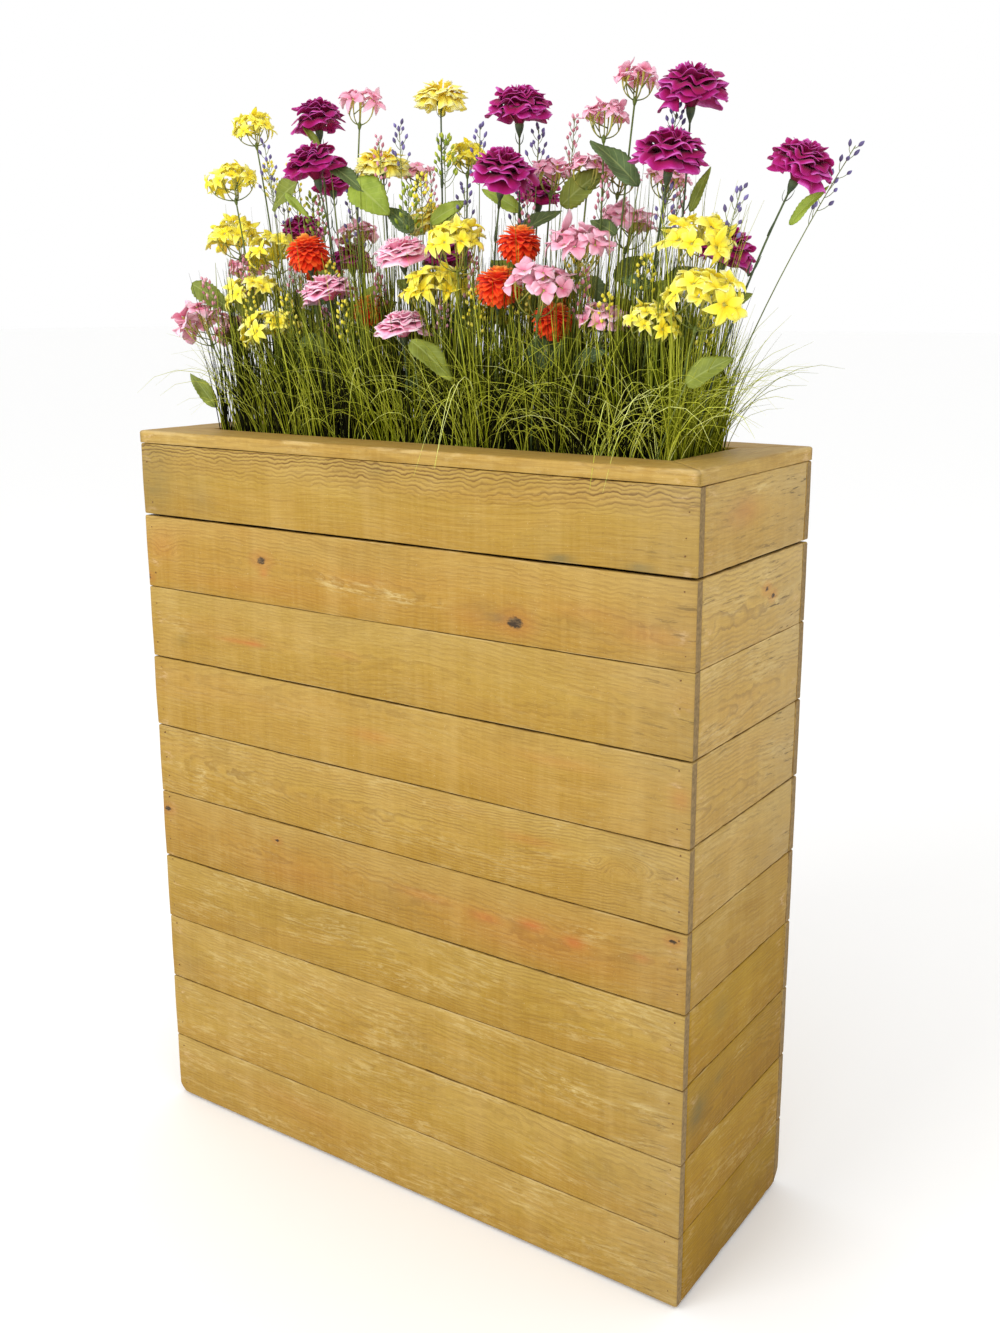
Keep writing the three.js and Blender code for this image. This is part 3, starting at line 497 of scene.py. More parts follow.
# Their marks, by side and course. Knots, eyes, resin blushes, stains and scuffs stand at shares of the
# board's length and height, then sizes in mm and the strength. steady is how unbroken the rings are, fade
# how much darker the far end is, dull a board that has lost its wax, cuts the lower corners cut off in mm.
MARKS = {
    ("front", 0): {
        "stain": [
            (0.02, 0.45, 46, 60, 0.6), (0.13, 0.3, 24, 30, 0.35), (0.49, 0.9, 12, 8, 0.3),
            (0.8, 0.04, 18, 5, 1.2), (0.92, 0.04, 16, 5, 1.2),
        ],
        "scuff": [(0.66, 0.35, 30, 10, 0.6)],
        "steady": 0.8,
    },
    ("front", 1): {
        "knots": [(0.257, 0.58, 5), (0.728, 0.26, 7), (0.002, 0.13, 3)],
        "eyes": [(0.037, 0.65, 26, 17, 16)],
        "blush": [
            (0.45, 0.5, 60, 9, 0.1), (0.037, 0.6, 30, 20, 0.16), (0.262, 0.42, 7, 6, 0.4),
            (0.25, 0.2, 160, 12, 0.1), (0.94, 0.34, 44, 12, 0.2), (0.84, 0.5, 60, 10, 0.12),
            (0.66, 0.26, 40, 18, 0.16),
        ],
        "stain": [(0.7, 0.28, 16, 3.5, 1), (0.68, 0.34, 40, 14, 0.25)],
        "scuff": [(0.45, 0.4, 90, 12, 0.9), (0.56, 0.33, 44, 8, 0.5), (0.03, 0.6, 30, 16, 0.4)],
    },
    ("front", 2): {
        "blush": [(0.2, 0.43, 34, 3.5, 0.4), (0.235, 0.44, 15, 3, 0.5), (0.42, 0.5, 26, 5, 0.15)],
        "stain": [(0.07, 0.3, 12, 9, 0.35)],
        "scuff": [(0.05, 0.5, 30, 14, 0.5)],
    },
    ("front", 3): {
        "blush": [(0.47, 0.52, 34, 8, 0.22), (0.985, 0.56, 12, 12, 0.3), (0.8, 0.7, 60, 7, 0.14)],
    },
    ("front", 4): {
        "eyes": [(0.897, 0.56, 30, 18, 30)],
        "blush": [(0.75, 0.66, 40, 6, 0.2)],
        "scuff": [(0.097, 0.5, 8, 45, 0.9), (0.4, 0.35, 10, 8, 0.9)],
    },
    ("front", 5): {
        "knots": [(0.012, 0.74, 4), (0.265, 0.73, 2.4), (0.979, 0.88, 3)],
        "blush": [
            (0.56, 0.55, 40, 6, 0.25), (0.673, 0.5, 22, 6, 0.4), (0.756, 0.58, 18, 6, 0.6),
            (0.826, 0.51, 15, 7, 0.55), (0.932, 0.57, 12, 5, 0.35), (0.76, 0.35, 130, 24, 0.16),
            (0.3, 0.3, 80, 22, 0.12),
        ],
        "stain": [(0.5, 0.4, 40, 18, 0.2)],
        "scuff": [(0.84, 0.7, 26, 8, 0.7)],
    },
    ("front", 6): {"scuff": [(0.25, 0.5, 40, 20, 0.6), (0.95, 0.45, 26, 12, 0.6)]},
    ("front", 7): {
        "stain": [(0.04, 0.3, 30, 16, 0.25)],
        "scuff": [(0.822, 0.58, 28, 9, 0.8), (0.942, 0.55, 22, 9, 0.7)],
    },
    ("front", 8): {"stain": [(0.86, 0.5, 40, 20, 0.2)]},
    ("front", 9): {"blush": [(0.3, 0.5, 120, 30, 0.08)], "cuts": (11, 3)},
    ("right", 0): {
        "blush": [(0.35, 0.6, 34, 16, 0.3)],
        "stain": [(0.32, 0.62, 26, 20, 0.3)],
        "scuff": [(0.5, 0.8, 20, 10, 0.9)],
    },
    ("right", 1): {
        "knots": [(0.614, 0.61, 3.4), (0.681, 0.5, 3.2)],
        "scuff": [(0.7, 0.6, 40, 22, 0.8)],
        "steady": 0.5,
    },
    ("right", 2): {"steady": 0.4},
    ("right", 3): {"steady": 0.3},
    ("right", 5): {"fade": 0.03},
    ("right", 6): {"stain": [(0.3, 0.6, 26, 20, 0.4)], "fade": 0.1, "dull": True},
    ("right", 7): {
        "stain": [(0.1, 0.5, 24, 20, 1), (0.3, 0.7, 14, 8, 0.5)],
        "scuff": [(0.5, 0.8, 16, 9, 0.9), (0.2, 0.3, 12, 20, 0.4)],
        "fade": 0.06, "dull": True,
    },
    ("right", 8): {"fade": 0.07, "dull": True},
    ("right", 9): {"stain": [(0.5, 0.3, 120, 40, 0.2)], "fade": 0.11, "dull": True, "cuts": (0, 3)},
    ("back", 9): {"cuts": (15, 12)},
}


def traits_of(side, course, rng):
    """Traits of a board: chance ones, overruled by what the photograph shows."""
    knots = range(rng.integers(0, 3))
    traits = {
        "knots": [(rng.uniform(0.06, 0.94), rng.uniform(0.2, 0.8), rng.uniform(3, 7)) for _ in knots],
        "tone": (rng.uniform(0.94, 1.04), rng.uniform(0, 0.4), rng.uniform(0, 0.4)),
        "heart": (rng.uniform(0.1, 0.9), rng.uniform(8, 24), rng.uniform(-0.06, 0.06)),
        "grain": (rng.uniform(0.25, 0.4), rng.uniform(4, 9), rng.uniform(3.6, 4.6), 0),
        "worn": rng.uniform(0.1, 0.5),
    }
    if side in LOOKS:
        traits = {"knots": [], **dict(zip(("tone", "heart", "grain", "worn"), LOOKS[side][course]))}
    return {**traits, **MARKS.get((side, course), {})}


def walls():
    """Boards of every wall, course by course from the top down, each standing a little proud or shy."""
    rng = np.random.default_rng(11)
    half_x, half_y = WIDTH / 2, DEPTH / 2
    places = {
        "front": (WIDTH, lambda s, deep, z: [s - half_x, deep - half_y, z]),
        "right": (SIDE_LONG, lambda s, deep, z: [half_x - deep, s - SIDE_LONG / 2, z]),
        "back": (WIDTH, lambda s, deep, z: [half_x - s, half_y - deep, z]),
        "left": (SIDE_LONG, lambda s, deep, z: [deep - half_x, SIDE_LONG / 2 - s, z]),
    }
    scale = (WALL_TOP - WALL_FOOT) / BOARD_HIGHS.sum()
    tops = WALL_TOP - np.concatenate([[0], np.cumsum(BOARD_HIGHS)]) * scale
    last = len(BOARD_HIGHS) - 1
    for side, (long, place) in places.items():
        for course in range(last + 1):
            gap_over = JOINTS[course - 1] / 2 if course else UNDER_CAP
            gap_under = JOINTS[course] / 2 if course < last else 0
            foot = tops[course + 1] + gap_under
            high = tops[course] - gap_over - foot
            traits = traits_of(side, course, rng)
            out = rng.uniform(-0.5, 0.4) * MM
            name = f"board_{side}_{course + 1}"

            def put(s, t, d):
                return np.stack(place(s, d - out, foot + t), -1)

            board(name, long, high, put, rng, traits, f"{side}_boards")


walls()


def nails(side, face_y, way):
    """Two or three small sunk nail heads near each end of a board, as discs almost flush with the face."""
    rng = np.random.default_rng(17)
    courses = len(BOARD_HIGHS)
    spots = [
        (
            end * (WIDTH / 2 - NAIL_IN - rng.uniform(-4, 4) * MM),
            WALL_FOOT + (WALL_TOP - WALL_FOOT) * (course + up + rng.uniform(-0.08, 0.08)) / courses,
            rng.uniform(0.6, 1.05) * MM,
        )
        for course in range(courses)
        for end in (-1, 1)
        for up in rng.permutation([0.18, 0.5, 0.8])[: rng.integers(2, 4)]
    ]
    x, z, radius = np.array(spots).T[..., None]
    y = np.array([face_y + way * 0.7 * MM, face_y - way * 1.5 * MM])[:, None]
    ring = np.arange(8)
    turn = ring / 8 * 2 * math.pi
    x, z = (x + radius * np.cos(turn))[:, None], (z + radius * np.sin(turn))[:, None]
    discs = np.stack(np.broadcast_arrays(x, y, z), -1).reshape(-1, 3)
    nxt = (ring + 1) % 8
    disc = [ring, ring[::-1] + 8, *np.stack([nxt, ring, ring + 8, nxt + 8], -1)]
    faces = [(face[::-way] + 16 * k).tolist() for k in range(len(spots)) for face in disc]
    piece(f"nails_{side}", discs, faces, rust, f"{side}_boards", {}, smooth=False)


rust, _, rust_shader = finish_named("rust", {"Roughness": 0.8})
rust_shader.inputs["Base Color"].default_value = colour(112, 76, 42)
nails("front", -DEPTH / 2, -1)
nails("back", DEPTH / 2, 1)

# ---- Cap frame ------------------------------------------------------------------------------------
# Four flat boards of the same pine, mitred at the corners and nailed down on the walls. Their upper
# edges are rounded and rubbed pale, and the grain runs along each board.

cap_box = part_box("cap_front")
CAP_THICK = cap_box[1].z - cap_box[0].z
CAP_WIDE = cap_box[1].y - cap_box[0].y
CAP_FOOT = cap_box[0].z
RIM = cap_box[1].z
MITRE_GAP = 0.5 * MM


def cap_board(side, long, reach, turn, rng, tone):
    """A mitred board: its section, rounded on top, runs between two planes that lean at 45 degrees."""
    outer, inner, bevel = 3.4 * MM, 2.6 * MM, 0.6 * MM
    bend = np.radians(np.linspace(0, 90, 5))
    out_t = outer - outer * np.cos(bend)
    out_h = CAP_THICK - outer + outer * np.sin(bend)
    in_t = CAP_WIDE - inner + inner * np.sin(bend)
    in_h = CAP_THICK - inner + inner * np.cos(bend)
    top = np.linspace(outer, CAP_WIDE - inner, 14)[1:-1]
    under = np.linspace(CAP_WIDE, 0, 6)[1:-1]
    across = np.concatenate([[bevel, 0], out_t, top, in_t, [CAP_WIDE, CAP_WIDE - bevel], under])
    height = np.concatenate([[0, bevel], out_h, 0 * top + CAP_THICK, in_h, [bevel, 0], 0 * under])
    share = np.linspace(-1, 1, max(30, round(long / (8 * MM))))
    w, t = np.meshgrid(share, across, indexing="ij")
    h = np.broadcast_to(height, w.shape)
    s = w * (long / 2 - MITRE_GAP / 2 - t)
    upper = h > CAP_THICK * 0.6
    worn = drift(share * long, rng, 0.1, 0.35 * MM)[:, None] * np.exp(-t / (6 * MM)) * upper
    swell = drift(share * long, rng, 0.22, 0.25 * MM)[:, None] * np.sin(t / CAP_WIDE * 3) * upper
    put = np.stack([s, t - reach + worn, CAP_FOOT + h - np.abs(worn) * 0.6 + swell], -1).reshape(-1, 3)
    c, d = math.cos(turn), math.sin(turn)
    put = put @ np.array([[c, d, 0], [-d, c, 0], [0, 0, 1]])
    rings, around = w.shape
    end_ring = np.arange(around)
    ends = [end_ring.tolist(), ((rings - 1) * around + end_ring[::-1]).tolist()]
    faces = ring_quads(rings, around)[:, [0, 3, 2, 1]].tolist() + ends  # this loop runs the other way round
    log = [s + rng.uniform(0, 50), t - CAP_WIDE * rng.uniform(0.3, 0.7), h + rng.uniform(8, 20) * MM]
    flat = 0 * s
    rub = np.clip(np.abs(t - 2 * MM) / (9 * MM), 0.1, 1) + (h < CAP_THICK * 0.5)
    tip = np.exp(-((np.abs(s) - long / 2 + 18 * MM) ** 2) / (14 * MM) ** 2)
    attributes = {
        "log": np.stack(log, -1),
        "tone": np.broadcast_to(np.array(tone, float), (*s.shape, 3)),
        "grain": np.stack([flat + 0.3, flat + 4, flat + 4.2], -1),
        "marks": np.stack([flat + 1, flat, flat], -1),
        "wear": np.stack([np.minimum(rub, 1), flat, tip], -1),
        "face": np.stack([flat + 0.25, flat + 0.8, flat], -1),
    }
    piece(f"cap_{side}_board", put, faces, pine, f"cap_{side}", attributes)


cap_rng = np.random.default_rng(5)
for quarter, cap_side in enumerate(("front", "right", "back", "left")):
    cap_long, cap_reach = (DEPTH, WIDTH / 2) if quarter % 2 else (WIDTH, DEPTH / 2)
    cap_tone = (1.07, cap_rng.uniform(0.1, 0.25), 0.1)
    cap_board(cap_side, cap_long, cap_reach, quarter * math.pi / 2, cap_rng, cap_tone)

# ---- Posts, shelf and block -----------------------------------------------------------------------
# Sawn, unplaned timber inside the box keeps its frame shape: corner posts, base, shelf and battens.
# The block on the shelf is dark green foam, pushed full of stems.


def sawn_finish():
    """Saw marks across a long grain, from each piece's own coordinates."""
    made, w, shader = finish_named("sawn_pine", {"Roughness": 0.85})
    x, y, z = w.node("TexCoord", out=3).split()
    grain = w.noise(w.join(x * 120, y * 120, z * 12), 1.0, 4, 0.6)
    saw = w.noise(w.join(x * 30, y * 30, z * 700), 1.0, 2)
    wood = w.mix(grain.ramp((0.3, 0), (0.7, 1)), colour(150, 118, 70), colour(190, 158, 104))
    feed(w, shader, wood, None, grain + saw * 0.5, 0.6, 0.0008)
    return made


def foam_finish():
    """Fine open cells, darker in patches."""
    made, w, shader = finish_named("foam", {"Roughness": 0.95})
    place = w.node("TexCoord", out=3)
    cells = w.noise(place, 900.0, 2, 0.7)
    patch = w.noise(place, 40.0, 2)
    paint = w.mix(patch, colour(40, 62, 38), colour(66, 92, 56))
    feed(w, shader, paint, None, cells, 0.8, 0.0008)
    return made


sawn = sawn_finish()
foam = foam_finish()
for part_name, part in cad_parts.items():
    if part_name.startswith(("post_", "base_", "shelf", "cleat_")):
        part.material_slots[0].material = sawn
    elif part_name == "planting_block":
        part.material_slots[0].material = foam

# ---- Stems ----------------------------------------------------------------------------------------
# Every flower is a silk head on a plastic-covered wire, pushed into the block. Carnation wires are
# dark green with pairs of thin leaflets; the wires of the clusters turn yellow-green near the head.

GREENERY = "grass_and_stems"  # the frame node that holds all that isn't a flower of its own
KINDS = {
    "carnation_purple": (0.6, 0.18),
    "carnation_pink": (0.46, 0.18),
    "umbel_yellow": (0.4, 0.36),
    "umbel_pink": (0.36, 0.36),
    "mum_yellow": (0.42, 0.16),
    "pompon_orange": (0.94, 0.08),
}  # thickness and neck of a head over its width

# flowers at the back of the bed, which the frame holds as part of the greenery: middle and width in mm
REAR = [
    ("umbel_pink", (-410, 50, 1245), 64),
    ("carnation_purple", (-265, 75, 1360), 56),
    ("carnation_purple", (-330, 80, 1295), 64),
    ("carnation_purple", (80, 75, 1330), 60),
    ("carnation_purple", (-225, 65, 1255), 58),
    ("mum_yellow", (-85, 75, 1310), 74),
    ("umbel_pink", (195, 80, 1345), 54),
    ("umbel_pink", (-125, 85, 1365), 48),
    ("umbel_pink", (260, 85, 1340), 60),
    ("pompon_orange", (-285, 75, 1230), 58),
    ("pompon_orange", (105, 80, 1205), 52),
    ("umbel_yellow", (15, 60, 1175), 58),
    ("umbel_pink", (-445, 45, 1155), 60),
]
TURF_TOP = 952.6 * MM
FEET = (332 * MM, 62 * MM)  # half sizes of the patch in which the stems stand
ALONG_BED = (0.9, 0.43, 0)  # heading that no stem follows, for turning the tubes
bed = np.random.default_rng(23)


def unit(v):
    """Vectors brought to length one."""
    return v / np.linalg.norm(v, axis=-1, keepdims=True)


class Shape:
    """Points, faces and the shade of each point, gathered for one mesh."""

    def __init__(self):
        self.points, self.faces, self.shades = [], [], []
        self.count = 0

    def add(self, points, faces, shade):
        """points is (copies, n, 3), faces index one copy, and shade has one value a point."""
        copies, size = points.shape[:2]
        starts = (self.count + np.arange(copies) * size)[:, None, None]
        for corners in faces:
            self.faces.extend((corners + starts).reshape(-1, corners.shape[-1]).tolist())
        self.points.append(points.reshape(-1, 3))
        self.shades.append(np.broadcast_to(shade, points.shape[:2]).ravel())
        self.count += copies * size
        return self


def tubes(lines, radii, side, corners=4, flat=1.0, shade=None):
    """Closed tubes along lines of points (copies, n, 3). side is a heading across each tube."""
    ahead = np.empty_like(lines)
    ahead[:, 1:-1] = lines[:, 2:] - lines[:, :-2]
    ahead[:, 0], ahead[:, -1] = lines[:, 1] - lines[:, 0], lines[:, -1] - lines[:, -2]
    ahead = unit(ahead)
    side = np.broadcast_to(side, lines[:, 0].shape)[:, None]
    across = unit(side - ahead * (side * ahead).sum(-1, keepdims=True))
    over = np.cross(ahead, across)
    angle = np.arange(corners) / corners * 2 * math.pi
    radii = np.broadcast_to(radii, lines.shape[:2])[..., None, None]
    ring = across[:, :, None] * np.cos(angle)[:, None] + over[:, :, None] * np.sin(angle)[:, None] * flat
    skin = lines[:, :, None] + radii * ring
    copies, count = lines.shape[:2]
    tip = lines[:, -1:] + ahead[:, -1:] * radii[:, -1:, 0]
    points = np.concatenate([skin.reshape(copies, -1, 3), lines[:, :1], tip], 1)
    k = np.arange(corners)
    foot = np.stack([(k + 1) % corners, k, 0 * k + count * corners], -1)
    last = (count - 1) * corners
    head = np.stack([last + k, last + (k + 1) % corners, 0 * k + count * corners + 1], -1)
    share = np.linspace(0, 1, count) if shade is None else shade
    share = np.broadcast_to(share, (copies, count))
    shades = np.concatenate([np.repeat(share, corners, 1), share[:, :1], share[:, -1:]], 1)
    return points, [ring_quads(count, corners), foot, head], shades


def shells(grids, thick, shade):
    """Thin closed leaves of even thickness about grids of points (copies, nu, nv, 3)."""
    normal = unit(np.cross(np.gradient(grids, axis=1), np.gradient(grids, axis=2)))
    copies, nu, nv = grids.shape[:3]
    upper = (grids + normal * thick / 2).reshape(copies, -1, 3)
    lower = (grids - normal * thick / 2).reshape(copies, -1, 3)
    at = (np.arange(nu - 1)[:, None] * nv + np.arange(nv - 1)).ravel()
    quads = np.stack([at, at + nv, at + nv + 1, at + 1], -1)
    rim = np.concatenate([
        np.arange(nu) * nv,
        (nu - 1) * nv + np.arange(1, nv),
        np.arange(nu - 1)[::-1] * nv + nv - 1,
        np.arange(1, nv - 1)[::-1],
    ])
    nxt = np.roll(rim, -1)
    size = nu * nv
    edge = np.stack([rim, rim + size, nxt + size, nxt], -1)
    faces = np.concatenate([quads, quads[:, ::-1] + size, edge])
    shade = np.broadcast_to(shade, (copies, nu, nv)).reshape(copies, -1)
    return np.concatenate([upper, lower], 1), [faces], np.concatenate([shade, shade], 1)


def bezier(start, knee, end, count):
    """Points of a quadratic curve, for arrays of starts, knees and ends."""
    t = np.linspace(0, 1, count)[:, None]
    start, knee, end = (np.asarray(p, float)[..., None, :] for p in (start, knee, end))
    return (1 - t) ** 2 * start + 2 * t * (1 - t) * knee + t**2 * end


def grown(name, shape, paint, slot, node, **marks):
    """The piece of a gathered shape."""
    attributes = {"shade": np.concatenate(shape.shades), **marks}
    piece(name, np.concatenate(shape.points), shape.faces, paint, node, attributes)


def painted(*stops):
    """Colour stops from rows of place, red, green and blue."""
    return [(at, colour(*paint)) for at, *paint in stops]


def foliage_finish(name, gloss, *stops):
    """Colours from foot to tip by the shade, broken by fine and broad mottling."""
    made, w, shader = finish_named(name, {"Specular IOR Level": gloss})
    shade = w.attribute("shade")
    place = w.node("TexCoord", out=3)
    fine = w.noise(place, 260.0, 2, 0.6)
    broad = w.noise(place, 14.0, 1)
    paint = (shade + (fine - 0.5) * 0.5 + (broad - 0.5) * 0.5).ramp(*painted(*stops))
    feed(w, shader, paint, 0.55 + (fine - 0.5) * 0.3, fine, 0.25, 0.0003)
    return made


wire_green = foliage_finish("wire_green", 0.35, (0, 62, 78, 40), (0.6, 54, 68, 46), (1, 78, 94, 54))
twig_green = foliage_finish("twig_green", 0.35, (0, 84, 98, 36), (0.6, 104, 118, 52), (1, 126, 136, 70))
cluster_green = foliage_finish(
    "cluster_green", 0.35, (0, 60, 76, 30), (0.55, 92, 108, 42), (1, 184, 176, 78)
)


class Head:
    """Where a flower head stands: its foot, its axis, and its width, thickness and neck."""

    def __init__(self, name, kind, wide, foot, axis, node):
        self.name, self.kind, self.node = name, kind, node
        self.wide, self.foot, self.axis = wide, foot, axis
        self.thick, self.neck = (share * wide for share in KINDS[kind])
        self.middle = foot + axis * (self.neck + self.thick / 2)

    def put(self, points):
        """Turns points from the head's own frame, axis up, to its place."""
        side = unit(np.cross(self.axis, (0.02, 1, 0)))
        turn = np.stack([side, np.cross(self.axis, side), self.axis])
        return points @ turn + self.foot


def knee_of(foot, middle):
    """The knee of a stem that leans out from its foot before it rises."""
    knee = foot + 0.3 * (middle - foot)
    knee[2] = (foot[2] + middle[2]) / 2
    return knee


def foot_of(middle):
    """Where a stem stands in the turf, a little nearer to the middle of the bed than what it carries."""
    x, y = np.clip(middle[:2] * (0.84, 0.8), np.negative(FEET), FEET)
    return np.array([x, y, TURF_TOP - 8 * MM])


def heads_of_frame():
    """Reads each head from its frame node: the foot is its lowest point and the axis runs to its middle."""
    found = []
    for name in sorted(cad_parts):
        kind = name.rsplit("_", 1)[0]
        if kind in KINDS:
            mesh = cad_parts[name]
            points = np.array([mesh.matrix_world @ v.co for v in mesh.data.vertices])
            foot = points[points[:, 2] < points[:, 2].min() + 1.5 * MM].mean(0)
            axis = unit(points.mean(0) - foot)
            out = points - foot
            off = np.linalg.norm(out - (out @ axis)[:, None] * axis, axis=1)
            found.append(Head(name, kind, 2 * off.max(), foot, axis, name))
    return found


def heads_of_rear():
    """Heads of the table, each on the axis from its stem's knee to its middle."""
    found = []
    for k, (kind, middle, wide) in enumerate(REAR):
        middle = np.array(middle) * MM
        axis = unit(middle - knee_of(foot_of(middle), middle))
        thick, neck = KINDS[kind]
        foot = middle - axis * wide * MM * (thick / 2 + neck)
        found.append(Head(f"rear_{kind}_{k + 1}", kind, wide * MM, foot, axis, GREENERY))
    return found


heads = heads_of_frame() + heads_of_rear()


def stem_line(head, count=14):
    """A stem's curve rises from the turf and ends along the head's axis."""
    foot = foot_of(head.middle)
    rise = (head.middle[2] - foot[2]) / 2
    knee = head.middle - head.axis * rise / head.axis[2]
    return bezier(foot, knee, head.foot, count)


def stems():
    """Wires to every head, and the pairs of leaflets under the carnations."""
    dark, pale = Shape(), Shape()
    for head in heads:
        line = stem_line(head)
        carnation = head.kind.startswith(("carnation", "mum"))
        radii = np.linspace(1.35, 1.1, len(line)) * MM
        shade = np.linspace(0, 1 if carnation else 0.55, len(line))
        (dark if carnation else pale).add(*tubes(line[None], radii, ALONG_BED, 6, shade=shade))
        for down, long in ((9, 15), (48, 22), (95, 26)) if carnation else ():
            at = head.foot - head.axis * down * MM
            spin = bed.uniform(0, math.pi)
            for side in (0, math.pi):
                way = np.array([math.cos(spin + side), math.sin(spin + side), 0])
                tip = at + (way * 0.38 + head.axis * 0.9) * long * MM
                knee = at + (way * 0.45 + head.axis * 0.25) * long * MM
                leaflet = bezier(at, knee, tip, 6)[None]
                widths = np.array([1.0, 1.3, 1.25, 1.0, 0.7, 0.3]) * 0.85 * MM
                dark.add(*tubes(leaflet, widths, np.cross(way, head.axis), 4, 0.35))
    grown("flower_stems_dark", dark, wire_green, "greenery", GREENERY)
    grown("flower_stems_pale", pale, cluster_green, "greenery", GREENERY)


stems()

# ---- Carnations -----------------------------------------------------------------------------------
# Broad silk petals in eight rings, their edges ruffled and finely pinked, gathered in a green plastic
# cup. The outer ring hangs a little, the inner ones stand up in a flat dome.

SILK = 0.4 * MM  # thickness


def silk_finish(name, *stops):
    """Colours from the throat to the edge by the shade; the folds' sides catch a slight sheen."""
    looks = {"Sheen Weight": 0.15, "Sheen Roughness": 0.4, "Specular IOR Level": 0.2}
    made, w, shader = finish_named(name, looks)
    shade = w.attribute("shade")
    place = w.node("TexCoord", out=3)
    mottle = w.noise(place, 160.0, 3, 0.6)
    thread = w.noise(place, 1500.0, 1)
    paint = (shade + (mottle - 0.5) * 0.35).ramp(*painted(*stops))
    feed(w, shader, paint, 0.62 + mottle * 0.2, thread + mottle, 0.3, 0.0003)
    return made


purple_silk = silk_finish(
    "purple_silk",
    (0, 96, 0, 40), (0.3, 144, 2, 66), (0.6, 158, 6, 94), (0.82, 176, 28, 124), (1, 206, 96, 180),
)
pink_carnation_silk = silk_finish(
    "pink_carnation_silk",
    (0, 226, 96, 132), (0.35, 240, 146, 178), (0.7, 247, 182, 208), (1, 254, 230, 238),
)


def petal_ring(count, spread, curve, ruffle, teeth=0.009, folds=(4.4, 8.2), nu=7, nv=21, jitter=0.14):
    """Petals fanned about the axis: each follows a curve of (radius, height) and is ruffled at its edge.

    spread is half the angle of a petal, curve holds three (radius, height) points of its midline, and
    the ruffle is a sum of sines across the petal that grows with the square of the way along it.
    """
    heading = (np.arange(count) + bed.uniform(0, 1) + bed.normal(0, jitter, count)) / count * 2 * math.pi
    u = np.linspace(0, 1, nu)[None, :, None]
    v = np.linspace(-1, 1, nv)[None, None, :]
    size = (1 + bed.normal(0, 0.06, count))[:, None, None]
    (r0, z0), (r1, z1), (r2, z2) = curve
    wave = bed.uniform(0, 2 * math.pi, (3, count))[:, :, None, None]
    lift = bed.normal(0, 0.09, count)[:, None, None] * abs(r2)
    pinked = np.where(np.arange(nv) % 2, 1, -1)[None, :] * teeth + bed.normal(0, teeth, (count, nv))
    reach = 1 + pinked[:, None, :] * u**4 - 0.2 * np.abs(v) ** 3 * u**2
    r = ((1 - u) ** 2 * r0 + 2 * u * (1 - u) * r1 + u**2 * r2 * size) * reach
    z = (1 - u) ** 2 * z0 + 2 * u * (1 - u) * z1 + u**2 * (z2 + lift)
    crimp = np.sin(v * folds[0] + wave[0]) * 0.65 + np.sin(v * folds[1] + wave[1]) * 0.35
    z = z + ruffle * u**2 * crimp
    r = r + ruffle * 0.7 * u**2 * np.sin(v * folds[1] * 0.8 + wave[2])
    angle = heading[:, None, None] + spread * v * (0.4 + 0.6 * u) + 0.06 * crimp * u
    grids = np.stack([r * np.cos(angle), r * np.sin(angle), z], -1)
    # the shade rises from the throat to a pale band at the edge; its crimp term paints the ruffles' crests
    # lighter and their troughs darker, a painted highlight and painted shade on the folds
    shade = 0.08 + 0.5 * u**1.3 + 0.34 * np.clip((u - 0.86) / 0.14, 0, 1) + 0.16 * crimp * u
    return grids, shade + bed.normal(0, 0.08, count)[:, None, None]


def upright(levels):
    """A line of points up the axis of a head, at the given levels."""
    line = np.zeros((1, len(levels), 3))
    line[..., 2] = levels
    return line


def cup(head, high, *radii):
    """The green cup under a head: a short turned piece with the given radii in mm, from its foot up."""
    line = upright(np.linspace(-0.5 * MM, high, len(radii)))
    points, faces, shade = tubes(line, np.array(radii) * MM, (1, 0, 0), 10)
    shape = Shape().add(head.put(points), faces, shade)
    grown(f"{head.name}_cup", shape, wire_green, "greenery", head.node)


def carnation(head, crisp, paint, slot):
    """Rings of petals from the outside in, each to a share of the width and height."""
    wide, thick, neck = head.wide / 2, head.thick, head.neck
    rings = [
        (5, 0.84, (1.0, 0.14), 0.7, 0.10),
        (5, 0.84, (0.99, 0.3), 0.8, 0.13),
        (5, 0.84, (0.95, 0.45), 0.85, 0.14),
        (5, 0.84, (0.87, 0.59), 0.95, 0.14),
        (5, 0.84, (0.75, 0.71), 1.0, 0.13),
        (5, 0.84, (0.6, 0.81), 1.0, 0.12),
        (4, 0.95, (0.42, 0.89), 1.0, 0.11),
        (4, 0.95, (0.22, 0.95), 1.0, 0.09),
    ]  # petals, spread, reach and height, arch, ruffle
    shape = Shape()
    for count, spread, (out, up), arch, ruffle in rings:
        curve = [
            (2 * MM, neck * 0.8),
            (wide * out * 0.45, neck + thick * arch * 0.9),
            (wide * out * 0.97, neck + thick * up),
        ]
        grids, shade = petal_ring(count, spread, curve, ruffle * crisp * wide)
        shape.add(*shells(head.put(grids), SILK, shade))
    grown(f"{head.name}_petals", shape, paint, slot, head.node)
    cup(head, neck * 1.1, 1.3, 2.2, 3.6, 4.6, 5.2, 5.4)


for bloom in heads:
    if bloom.kind == "carnation_purple":
        carnation(bloom, 1.0, purple_silk, "purple_silk")
    elif bloom.kind == "carnation_pink":
        carnation(bloom, 0.7, pink_carnation_silk, "pink_silk")

# ---- Clusters -------------------------------------------------------------------------------------
# Loose heads of star florets on thin curved stalks that spring from one joint, like the ribs of an
# umbrella. Yellow florets have six pointed petals, pink ones four broad petals.

